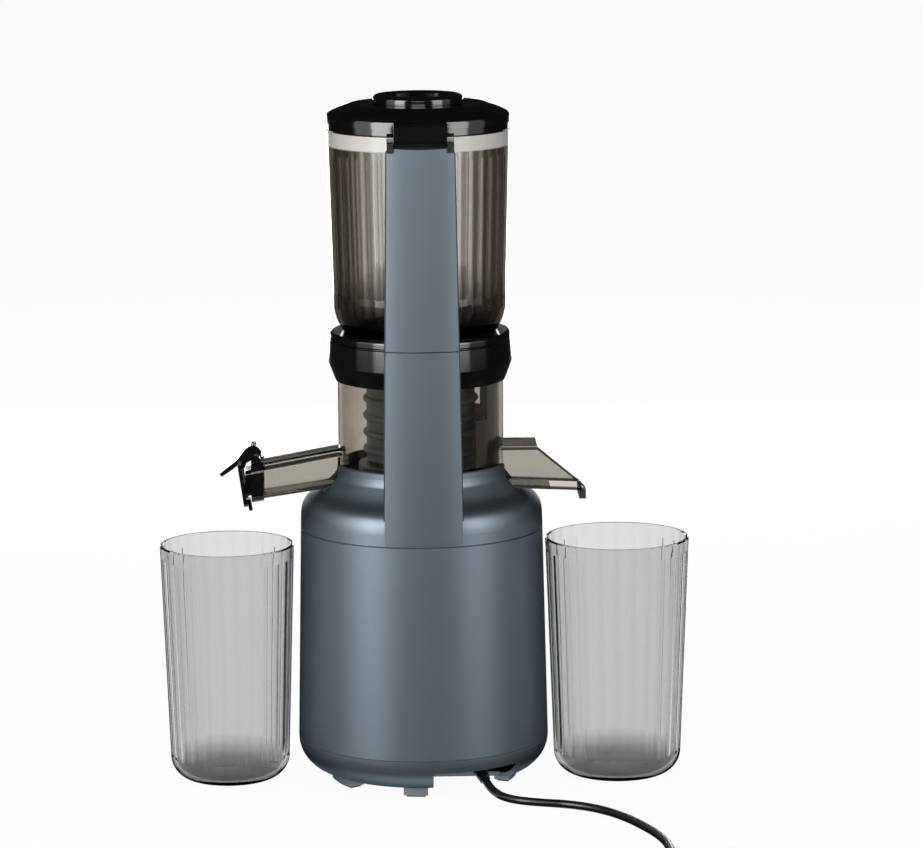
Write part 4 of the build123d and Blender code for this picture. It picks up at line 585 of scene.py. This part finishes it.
# %% [markdown]
# ## A finish for a piece
# A piece's finish also needs the piece's own coordinates, which stay with it when it moves.
# The methods here are the steps that many finishes share: noise, blended colours, bump,
# and how far a surface is turned away from the eye.

# %% Finishes
class Finish(Nodes):
    """A material for a piece, which knows where on the piece it is."""

    def __init__(self, name):
        super().__init__(bpy.data.materials.new(name), "ShaderNodeOutputMaterial")
        self.place = self.node("ShaderNodeTexCoord", {}, {}, "Object")
        self.x, self.y, self.z = (self.node("ShaderNodeSeparateXYZ", {}, {0: self.place}, axis)
                                  for axis in "XYZ")

    def noise(self, scale, detail=2.0, where=None):
        """Soft random unevenness between 0 and 1."""
        values = {"Vector": where or self.place, "Scale": scale, "Detail": detail}
        return self.node("ShaderNodeTexNoise", {}, values, "Fac")

    def stretched(self, x, y, z):
        """The piece's coordinates, scaled differently along each axis."""
        values = {"Vector": self.place, "Scale": (x, y, z)}
        return self.node("ShaderNodeMapping", {"vector_type": "POINT"}, values)

    def blend(self, share, first, second, how="MIX"):
        """A colour between two others, or the two combined in another way."""
        settings = {"data_type": "RGBA", "blend_type": how}
        return self.node("ShaderNodeMix", settings, {0: share, 6: first, 7: second}, 2)

    def ramp(self, share, stops):
        """A colour read from a strip of colours, given as (position, colour) pairs."""
        return self.node("ShaderNodeValToRGB", {"stops": stops}, {"Fac": share})

    def bump(self, height, strength, distance, **normal):
        """A normal that makes the surface look raised by height."""
        values = {"Height": height, "Strength": strength, "Distance": distance, **normal}
        return self.node("ShaderNodeBump", {}, values)

    def facing(self):
        """0 where the surface faces the eye, 1 where it is seen edge on."""
        return self.node("ShaderNodeLayerWeight", {}, {"Blend": 0.5}, "Facing")

    def angle(self, centre=(0.0, 0.0)):
        """The angle round an upright axis, in radians."""
        return (self.y - centre[1]).calc("ARCTAN2", self.x - centre[0])

    def within(self, radius):
        """1 near the Z axis and 0 farther out than the radius."""
        return (radius * radius - (self.x * self.x + self.y * self.y)).above(0.0)

    def shader(self, **sockets):
        """The principled shader, with its sockets written in small letters."""
        values = {key.replace("_", " ").title().replace("Ior", "IOR"): value
                  for key, value in sockets.items()}
        return self.node("ShaderNodeBsdfPrincipled", {}, values)

    def surface(self, **sockets):
        """The material with one principled shader."""
        return self.done(self.shader(**sockets))


print("finishes ready")

# %% [markdown]
# ## Blue-grey metallic paint
# The base, the column and the feet share one paint: a satin lacquer with fine metal
# flakes. The flakes are a very fine noise in colour and bump, and a larger, slower noise
# makes the sheen a little uneven, as sprayed lacquer is. Flakes lie flat in the lacquer, so
# such a paint darkens where it is seen edge on, which painters call its flop. The strip of
# colours darkens the edges further than flop does, and that part is painted shade.

# %% Paint
FLAKE_SCALE = 9000.0
PEEL_SCALE = 900.0
CLOUD_SCALE = 18.0
# Edge-on darkening of the paint: partly flop, partly painted shade.
FLOP_AND_EDGE_SHADE_STOPS = [
    (0.0, (1.0, 1.0, 1.0)), (0.35, (0.95, 0.95, 0.95)), (0.6, (0.55, 0.55, 0.56)),
    (0.9, (0.22, 0.22, 0.23)),
]


def metallic_paint(name):
    """Satin lacquer with metal flakes."""
    paint = Finish(name)
    flakes = paint.noise(FLAKE_SCALE, 1.0)
    cloud = paint.noise(CLOUD_SCALE)
    colour = paint.blend(flakes, (0.138, 0.168, 0.194), (0.222, 0.260, 0.292))
    # Darker edge on: partly the paint's flop, partly painted shade.
    flop_and_edge_shade = paint.ramp(paint.facing(), FLOP_AND_EDGE_SHADE_STOPS)
    peel = paint.bump(paint.noise(PEEL_SCALE, 1.0), strength=0.05, distance=0.0004)
    return paint.surface(base_color=paint.blend(1.0, colour, flop_and_edge_shade, "MULTIPLY"), metallic=0.85,
                         roughness=0.42 + 0.05 * cloud, specular_tint=(0.35, 0.38, 0.42),
                         normal=paint.bump(flakes, strength=0.06, distance=0.0001, Normal=peel))


blue_grey_paint = metallic_paint("blue_grey_paint")
print("paint made")

# %% [markdown]
# ## Plastics and rubber
# Moulded plastic is never quite even. Gloss black shows faint ripples, satin black has a
# fine grain, and rubber is matt with a coarser one. Two functions make them all: one for a
# mirror-like skin, one for a grained skin whose colour drifts between two shades.

# %% Plastics
RIPPLE_SCALE = 60.0
HAZE_SCALE = 25.0
FINE_GRAIN = 1800.0
RUBBER_GRAIN = 900.0
BOARD_GRAIN = 600.0
DRIFT_SCALE = 30.0


def gloss_plastic(name, colour, roughness, specular):
    """A smooth skin with faint ripples."""
    gloss = Finish(name)
    ripple = gloss.noise(RIPPLE_SCALE, 1.0)
    haze = gloss.noise(HAZE_SCALE, 3.0)
    return gloss.surface(base_color=colour, roughness=roughness + 0.05 * haze,
                         normal=gloss.bump(ripple, strength=0.02, distance=0.001),
                         specular_ior_level=specular)


def grained_plastic(name, colour, shade, roughness, grain=FINE_GRAIN):
    """A finely grained skin."""
    plastic = Finish(name)
    speckle = plastic.noise(grain)
    drift = plastic.noise(DRIFT_SCALE)
    return plastic.surface(base_color=plastic.blend(drift, colour, shade),
                           roughness=roughness + 0.1 * drift,
                           normal=plastic.bump(speckle, strength=0.15, distance=0.0002))


black_gloss = gloss_plastic("black_gloss", (0.003, 0.003, 0.0035), 0.10, 0.8)
cord_vinyl = gloss_plastic("cord_vinyl", (0.004, 0.004, 0.0045), 0.26, 0.6)
satin_black = grained_plastic("satin_black", (0.012, 0.012, 0.013), (0.02, 0.02, 0.021), 0.45)
dark_frame = grained_plastic("strainer_grey", (0.115, 0.137, 0.16), (0.155, 0.182, 0.21), 0.35)
# This finish also colours the column's strips of painted shade.
liner_dark = grained_plastic("liner_dark", (0.02, 0.026, 0.034), (0.03, 0.036, 0.046), 0.4)
shield_brown = grained_plastic("shield_brown", (0.02, 0.018, 0.015), (0.03, 0.026, 0.022), 0.35)
nylon = grained_plastic("gear_nylon", (0.62, 0.60, 0.54), (0.74, 0.72, 0.66), 0.4)
black_rubber = grained_plastic("black_rubber", (0.01, 0.01, 0.01), (0.022, 0.022, 0.022), 0.6,
                               RUBBER_GRAIN)
board_green = grained_plastic("board_green", (0.01, 0.09, 0.03), (0.02, 0.14, 0.05), 0.4, BOARD_GRAIN)
print("plastics made")

# %% [markdown]
# ## Metals and the strainer's mesh
# Machined steel has fine turned lines, so its noise is squeezed along one axis. Cast alloy
# is even and rougher, and wound copper shows its turns. The mesh is a dark sheet with rows
# of small holes: the product of two sine waves, one round the axis and one upward, is high
# in a regular pattern of spots.

# %% Metals and mesh
TURNED_LINES = (4.0, 4.0, 2500.0)
CAST_SKIN = (300.0, 300.0, 300.0)
WOUND_WIRE = (30.0, 30.0, 1800.0)
TARNISH_SCALE = 40.0
MESH_DRIFT_SCALE = 60.0
HOLE_PITCH = 0.8
HOLE_EDGE = 0.35
MESH_RADIUS = 36.0


def lined_metal(name, colour, shade, lines=TURNED_LINES, roughness=0.3):
    """Bare metal with lines or a skin, as the scale along each axis tells."""
    metal = Finish(name)
    brushing = metal.noise(1.0, where=metal.stretched(*lines))
    drift = metal.noise(TARNISH_SCALE)
    return metal.surface(base_color=metal.blend(brushing, colour, shade), metallic=1.0,
                         roughness=roughness + 0.12 * drift,
                         normal=metal.bump(brushing, strength=0.1, distance=0.0002))


def perforated(name, colour, hole_colour):
    """A dark sheet with fine round holes, in rows round the Z axis."""
    sheet = Finish(name)
    around = (sheet.angle() * (pi * round(2 * MESH_RADIUS / HOLE_PITCH))).sine()
    upward = (sheet.z * (2 * pi / (HOLE_PITCH * MM))).sine()
    holes = (around * upward).above(HOLE_EDGE)
    return sheet.surface(base_color=sheet.blend(holes, colour, hole_colour), metallic=0.3,
                         roughness=0.4 + 0.1 * sheet.noise(MESH_DRIFT_SCALE),
                         normal=sheet.bump(holes, strength=0.3, distance=0.0002))


dark_mesh = perforated("dark_mesh", (0.15, 0.18, 0.215), (0.07, 0.084, 0.10))
machined_steel = lined_metal("machined_steel", (0.42, 0.43, 0.44), (0.6, 0.6, 0.61))
cast_alloy = lined_metal("cast_alloy", (0.4, 0.41, 0.43), (0.55, 0.56, 0.58), CAST_SKIN, 0.45)
bronze = lined_metal("bronze", (0.35, 0.2, 0.08), (0.5, 0.31, 0.13))
copper_wire = lined_metal("copper_wire", (0.45, 0.15, 0.05), (0.7, 0.3, 0.12), WOUND_WIRE, 0.35)
print("metals made")

# %% [markdown]
# ## Smoky clear plastic
# The hopper, bowl, spouts and cups are clear plastic with a brown or grey smoke tint. The
# light really passes through, so the shader transmits, and each wall tints it. A wall seen
# edge on is a longer way through the plastic, so the tint deepens there: a strip of colours
# gives the tint from face on to edge on. The strip darkens the rims further than the longer
# way does, and that part is painted shade for the dark rims that refraction draws. Flutes
# inside the wall bend the light into stripes: a sine of the angle round the axis shifts the
# tint.

# %% Clear plastic
FLOW_LINES = (260.0, 260.0, 7.0)
FLOW_SHIFT = 0.05
BOWL_STOPS = [(0.0, (0.62, 0.585, 0.525)), (0.3, (0.58, 0.545, 0.485)), (0.7, (0.32, 0.29, 0.25))]


class Smoky(Finish):
    """Tinted clear plastic, whose stops give the tint from face on to edge on, with painted shade in its
    darker rims.
    """

    def __init__(self, name, stops, flutes=0.0, depth=0.0, centre=(0.0, 0.0)):
        super().__init__(name)
        streak = self.noise(1.0, where=self.stretched(*FLOW_LINES))
        share = self.facing() + FLOW_SHIFT * (streak - 0.5)
        if flutes:
            share = share + depth * (self.angle(centre) * flutes).sine()
        # Face on, the plastic's tint; towards the rims, partly painted shade.
        self.tint = self.ramp(share, stops)
        self.skin = self.bump(streak, strength=0.03, distance=0.0005)

    def shade(self, share, colour):
        """Lets the tint go over into another colour."""
        self.tint = self.blend(share, self.tint, colour)

    def glass(self):
        """The clear shader in its tint."""
        return self.shader(base_color=self.tint, roughness=0.03, transmission_weight=1.0, ior=1.3,
                           normal=self.skin)


bowl = Smoky("smoky_brown", BOWL_STOPS)
smoky_brown = bowl.done(bowl.glass())
print("clear plastic made")

# %% [markdown]
# ## The hopper
# The hopper is striped and brown. Towards its throat the tint darkens into painted shade.
# Its strip of colours darkens the rims partly with painted shade, and its last stop paints a
# paler highlight along the very edge. A band at its rim is frosted, where the lid's ring
# rests, and the frost's colour is painted darker edge on, as shade. Frost is a rough opaque
# shader, laid over the clear one between two heights, and only on the wall, so the hinge's
# ears stay clear.

# %% Hopper plastic
# Face on, the plastic's own tint; the darker rims are partly painted shade, and the paler last stop is a
# painted highlight along the very edge.
HOPPER_STOPS = [
    (0.0, (0.68, 0.67, 0.65)), (0.12, (0.63, 0.61, 0.58)), (0.20, (0.36, 0.335, 0.30)),
    (0.27, (0.19, 0.165, 0.135)), (0.48, (0.09, 0.078, 0.065)), (0.75, (0.09, 0.08, 0.07)),
    (0.95, (0.30, 0.29, 0.28)),
]
HOPPER_FLUTES = 40.0
HOPPER_STRIPES = 0.11
FROST_SHARE = 0.85
THROAT_PAINTED_SHADE = 38.0 * MM
RIM_BAND = 15.2 * MM
BAND_EDGE = 900.0
WALL_ROOM = 0.8 * MM


def smoky_hopper(name, low, high):
    """Striped plastic with painted shade at the throat and a frosted rim, between two corners."""
    hopper = Smoky(name, HOPPER_STOPS, HOPPER_FLUTES, HOPPER_STRIPES)
    # Painted shade: the tint darkens towards the throat.
    throat = ((low.z + THROAT_PAINTED_SHADE - hopper.z) * (1.0 / THROAT_PAINTED_SHADE)).clipped()
    hopper.shade(throat, (0.04, 0.035, 0.03))
    # The frost's colour is painted darker edge on, as shade.
    frost_tone_and_shade = hopper.blend(hopper.facing(), (0.56, 0.545, 0.53), (0.26, 0.245, 0.23))
    frost = hopper.shader(base_color=frost_tone_and_shade, roughness=0.25, normal=hopper.skin)
    rim = ((hopper.z - (high.z - RIM_BAND)) * BAND_EDGE).clipped() * hopper.within(high.x + WALL_ROOM)
    return hopper.done(hopper.mixed(rim * FROST_SHARE, hopper.glass(), frost))


hopper_smoke = smoky_hopper("hopper_smoke", *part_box("hopper_drum"))
print("hopper plastic made")

# %% [markdown]
# ## The cups
# The cups are a neutral grey, with wider flutes, and the tint grows darker towards the
# foot. Each cup stands beside the juicer, so its flutes go round its own middle, which its
# solid tells.

# %% Cup plastic
CUP_STOPS = [
    (0.0, (0.74, 0.74, 0.738)), (0.4, (0.71, 0.71, 0.708)), (0.7, (0.56, 0.56, 0.557)),
    (0.95, (0.36, 0.36, 0.36)),
]
CUP_FLUTES = 26.0
CUP_STRIPES = 0.16
HEEL_TOP = 20.0 * MM
HEEL_FADE = 60.0


def smoky_cup(name, low, high):
    """Grey fluted plastic with a dark heel, for a cup between two corners."""
    cup = Smoky(name, CUP_STOPS, CUP_FLUTES, CUP_STRIPES, (low + high) / 2)
    # The tint darkens towards the cup's foot, below HEEL_TOP.
    cup.shade(((HEEL_TOP - cup.z) * HEEL_FADE).clipped(), (0.20, 0.20, 0.205))
    return cup.done(cup.glass())


juice_cup_smoke = smoky_cup("juice_cup_smoke", *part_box("juice_cup"))
pulp_cup_smoke = smoky_cup("pulp_cup_smoke", *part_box("pulp_cup"))
print("cup plastics made")

# %% [markdown]
# ## The spout and the chute
# Where the walls of a clear duct meet, the corner bends the light away and shows as a dark
# line. So the tint darkens in a narrow band below the duct's top edge and along its lower
# edge. Both edges are straight lines in the side view: a height and a fall per length. The
# chute's top is level at first and then slopes down, which is the lower of two lines.

# %% Duct plastic
SPOUT_STOPS = [
    (0.0, (0.60, 0.585, 0.54)), (0.35, (0.50, 0.48, 0.44)), (0.7, (0.34, 0.32, 0.29)),
    (0.9, (0.12, 0.11, 0.10)),
]
SPOUT_TOP_FALL = 0.181
SPOUT_LOW_FALL = 0.145
SPOUT_BAND = (1.6, 4.4)
CHUTE_SLOPED = 31.3 * MM
CHUTE_FALL = 0.824
CHUTE_LOW_FALL = 0.0485
CHUTE_BAND = (0.5, 2.9)
LOW_BAND = 2.3
BAND_FADE = 2.0
BAND_SHARE = 0.95


def smoky_duct(clear, top, low, band):
    """Finishes a duct's plastic, with dark lines along its top and its lower edge."""
    under_top = (top - clear.z) * (1 / MM)
    over_low = (clear.z - low) * (1 / MM)
    upper_line = (((under_top - band[0]) * BAND_FADE).clipped()
                  * ((band[1] - under_top) * BAND_FADE).clipped())
    lower_line = (LOW_BAND - over_low).clipped()
    clear.shade((upper_line + lower_line).clipped() * BAND_SHARE, (0.02, 0.018, 0.016))
    return clear.done(clear.glass())


spout_low, spout_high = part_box("juice_spout")
spout = Smoky("spout_smoke", SPOUT_STOPS)
spout_smoke = smoky_duct(spout, spout_high.z - (spout.x - spout_low.x) * SPOUT_TOP_FALL,
                         spout_low.z + (spout_high.x - spout.x) * SPOUT_LOW_FALL, SPOUT_BAND)
chute_low, chute_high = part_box("pulp_chute")
chute = Smoky("chute_smoke", SPOUT_STOPS)
chute_slope = (chute.x - (chute_low.x + CHUTE_SLOPED)) * CHUTE_FALL + chute_high.z
chute_smoke = smoky_duct(chute, chute_slope.calc("MINIMUM", chute_high.z),
                         chute_low.z + (chute.x - chute_low.x) * CHUTE_LOW_FALL, CHUTE_BAND)
print("duct plastics made")

# %% [markdown]
# ## Finishes on the pieces
# Every solid names the kind of surface it has, and most get the finish of that kind. A few
# have one of their own. The pieces made here get theirs one by one.

# %% Finishes on the pieces
finishes = {
    "housing": blue_grey_paint, "pads": black_rubber, "liner": liner_dark, "smoke_clear": smoky_brown,
    "cup_clear": juice_cup_smoke, "black_gloss": black_gloss, "seal": black_rubber,
    "dark_frame": dark_frame, "mesh_steel": machined_steel, "gear_nylon": nylon,
    "gear_steel": machined_steel, "gearbox_alloy": cast_alloy, "bronze": bronze,
    "motor_steel": machined_steel, "copper": copper_wire, "dark_plastic": satin_black,
    "board": board_green, "cord_black": cord_vinyl,
}
own_finishes = {
    "strainer_mesh": dark_mesh, "pulp_shield": shield_brown, "lid_ring": black_gloss,
    "hopper_drum": hopper_smoke, "pulp_cup": pulp_cup_smoke, "juice_spout": spout_smoke,
    "pulp_chute": chute_smoke,
}
made_pieces = [
    (mains_cord, cord_vinyl), (cord_gland, cord_vinyl), (knob, satin_black), (mark, nylon),
    # The column's strips of painted shade take the dark liner's finish.
    (knob_dots, nylon), (shade_lines[0], liner_dark), (shade_lines[1], liner_dark),
    (mesh_sleeve, dark_mesh),
]


def dress(piece, finish):
    """Gives a piece one finish all over."""
    piece.data.materials.clear()
    piece.data.materials.append(finish)


for subpart in frame["record"]["subparts"]:
    node = subpart["node"]
    dress(nodes[node], own_finishes.get(node, finishes[subpart["material_slot"]]))
for piece, finish in made_pieces:
    dress(piece, finish)
print("finishes on", len(nodes), "solids and", len(made_pieces), "new pieces")

# %% [markdown]
# ## The white table
# A white table runs into a white background without an edge. Wherever the floor is seen,
# also through clear plastic or as a reflection, it is almost plain white, with a trace of
# the juicer's shadow. For the light that it throws back it is an ordinary pale surface.

# %% Floor
FLOOR_SIZE = 90.0
FLOOR_DROP = 0.0002
FLOOR_GREY = (0.8, 0.8, 0.8)
FLOOR_SEEN = 0.95
bpy.ops.object.select_all(action="DESELECT")
bpy.ops.mesh.primitive_plane_add(size=FLOOR_SIZE, location=(0, 0, -FLOOR_DROP))
floor = bpy.context.object
floor.name = "floor"
table = Nodes(bpy.data.materials.new("floor_white"), "ShaderNodeOutputMaterial")
floor_lit = table.node("ShaderNodeBsdfDiffuse", {}, {"Color": FLOOR_GREY})
floor_seen = table.node("ShaderNodeEmission", {}, {})
floor.data.materials.append(table.lit_or_seen(floor_lit, floor_seen, FLOOR_SEEN))
print("floor", FLOOR_SIZE, "m across")

# %% [markdown]
# ## The white room
# The world works in the same way: a weak even light for the juicer, and a plain white
# background wherever it is seen.

# %% World
WHITE = (1.0, 1.0, 1.0)
ROOM_LIGHT = 0.2
room = Nodes(bpy.data.worlds.new("studio"), "ShaderNodeOutputWorld")
ambient = room.node("ShaderNodeBackground", {}, {"Color": WHITE, "Strength": ROOM_LIGHT})
backdrop = room.node("ShaderNodeBackground", {}, {"Color": WHITE, "Strength": 1.0})
bpy.context.scene.world = room.lit_or_seen(ambient, backdrop, 1.0)
bpy.context.scene.view_settings.view_transform = "Standard"
print("room light", ROOM_LIGHT)

# %% [markdown]
# ## Soft boxes
# Two tall soft boxes stand on each side of the camera, the stronger ones on the left, and
# draw the pale bands down the round base. One near the camera fills the middle, and two
# light the knob's side: a low one whose reflection draws the base's edge there, and a high
# one that shows in no reflection. None of them shows through the clear plastic.

# %% Soft boxes
SIDE_BOX = {"distance": 1.7, "height": 0.78, "tall": 1.5, "aim_height": 0.6}


def soft_box(name, azimuth, power, distance, height, wide, tall, aim_height, mirrored=True):
    """A soft light at an azimuth in degrees from the camera's side, aimed at the juicer's axis."""
    data = bpy.data.lights.new(name, "AREA")
    data.shape = "RECTANGLE"
    data.size, data.size_y = wide, tall
    data.energy = power
    light = bpy.data.objects.new(name, data)
    light.visible_camera = light.visible_transmission = False
    light.visible_glossy = mirrored
    bpy.context.scene.collection.objects.link(light)
    spot = Vector((distance * sin(radians(azimuth)), distance * cos(radians(azimuth)), height))
    turn = (Vector((0, 0, aim_height)) - spot).to_track_quat("-Z", "Y")
    light.matrix_world = Matrix.Translation(spot) @ turn.to_matrix().to_4x4()


soft_box("left_box_near", azimuth=48.0, power=28.0, wide=0.80, **SIDE_BOX)
soft_box("left_box_far", azimuth=74.0, power=4.5, wide=0.75, **SIDE_BOX)
soft_box("right_box_near", azimuth=-50.0, power=18.0, wide=0.80, **SIDE_BOX)
soft_box("right_box_far", azimuth=-76.0, power=2.2, wide=0.75, **SIDE_BOX)
soft_box("front_box", azimuth=0.0, power=10.0, distance=2.2, height=0.88, wide=1.3, tall=0.75,
         aim_height=0.45)
soft_box("knob_side_low", azimuth=180.0, power=9.0, distance=1.5, height=0.235, wide=1.3, tall=0.37,
         aim_height=0.235)
soft_box("knob_side_high", azimuth=180.0, power=26.0, distance=2.0, height=1.6, wide=1.4, tall=1.0,
         aim_height=0.3, mirrored=False)
print(len(bpy.data.lights), "soft boxes")

# %% [markdown]
# ## The black tent
# Round the whole set hangs a tent of black cloth, which only reflections see. It keeps black
# gloss black and the edges of the paint dark, while the light through the clear plastic
# stays white. The tent is a closed drum with a hole in its floor, just under the juicer, so
# that the underside mirrors the white table and the rest mirrors the cloth.

# %% Black tent
TENT_RADIUS = 3.4
TENT_HEIGHT = 3.0
TENT_STAND = 0.001
TABLE_RADIUS = 0.09
bpy.ops.object.select_all(action="DESELECT")
bpy.ops.mesh.primitive_cylinder_add(vertices=64, radius=TENT_RADIUS, depth=TENT_HEIGHT,
                                    location=(0, 0, TENT_HEIGHT / 2 + TENT_STAND))
tent = bpy.context.object
tent.name = "black_tent"
bpy.ops.object.transform_apply(location=True, rotation=False, scale=False)
bpy.ops.object.mode_set(mode="EDIT")
bpy.ops.mesh.select_all(action="DESELECT")
bpy.ops.object.mode_set(mode="OBJECT")
for face in tent.data.polygons:
    face.select = face.normal.z < -0.9
bpy.ops.object.mode_set(mode="EDIT")
bpy.ops.mesh.select_mode(type="FACE")
bpy.ops.mesh.inset(thickness=TENT_RADIUS - TABLE_RADIUS)
bpy.ops.mesh.delete(type="FACE")
bpy.ops.object.mode_set(mode="OBJECT")
cloth = Finish("black_cloth")
dress(tent, cloth.surface(base_color=(0.02, 0.02, 0.02), roughness=0.9, specular_ior_level=0.0))
tent.visible_camera = tent.visible_diffuse = False
tent.visible_transmission = tent.visible_shadow = False
print("tent of", len(tent.data.polygons), "faces")
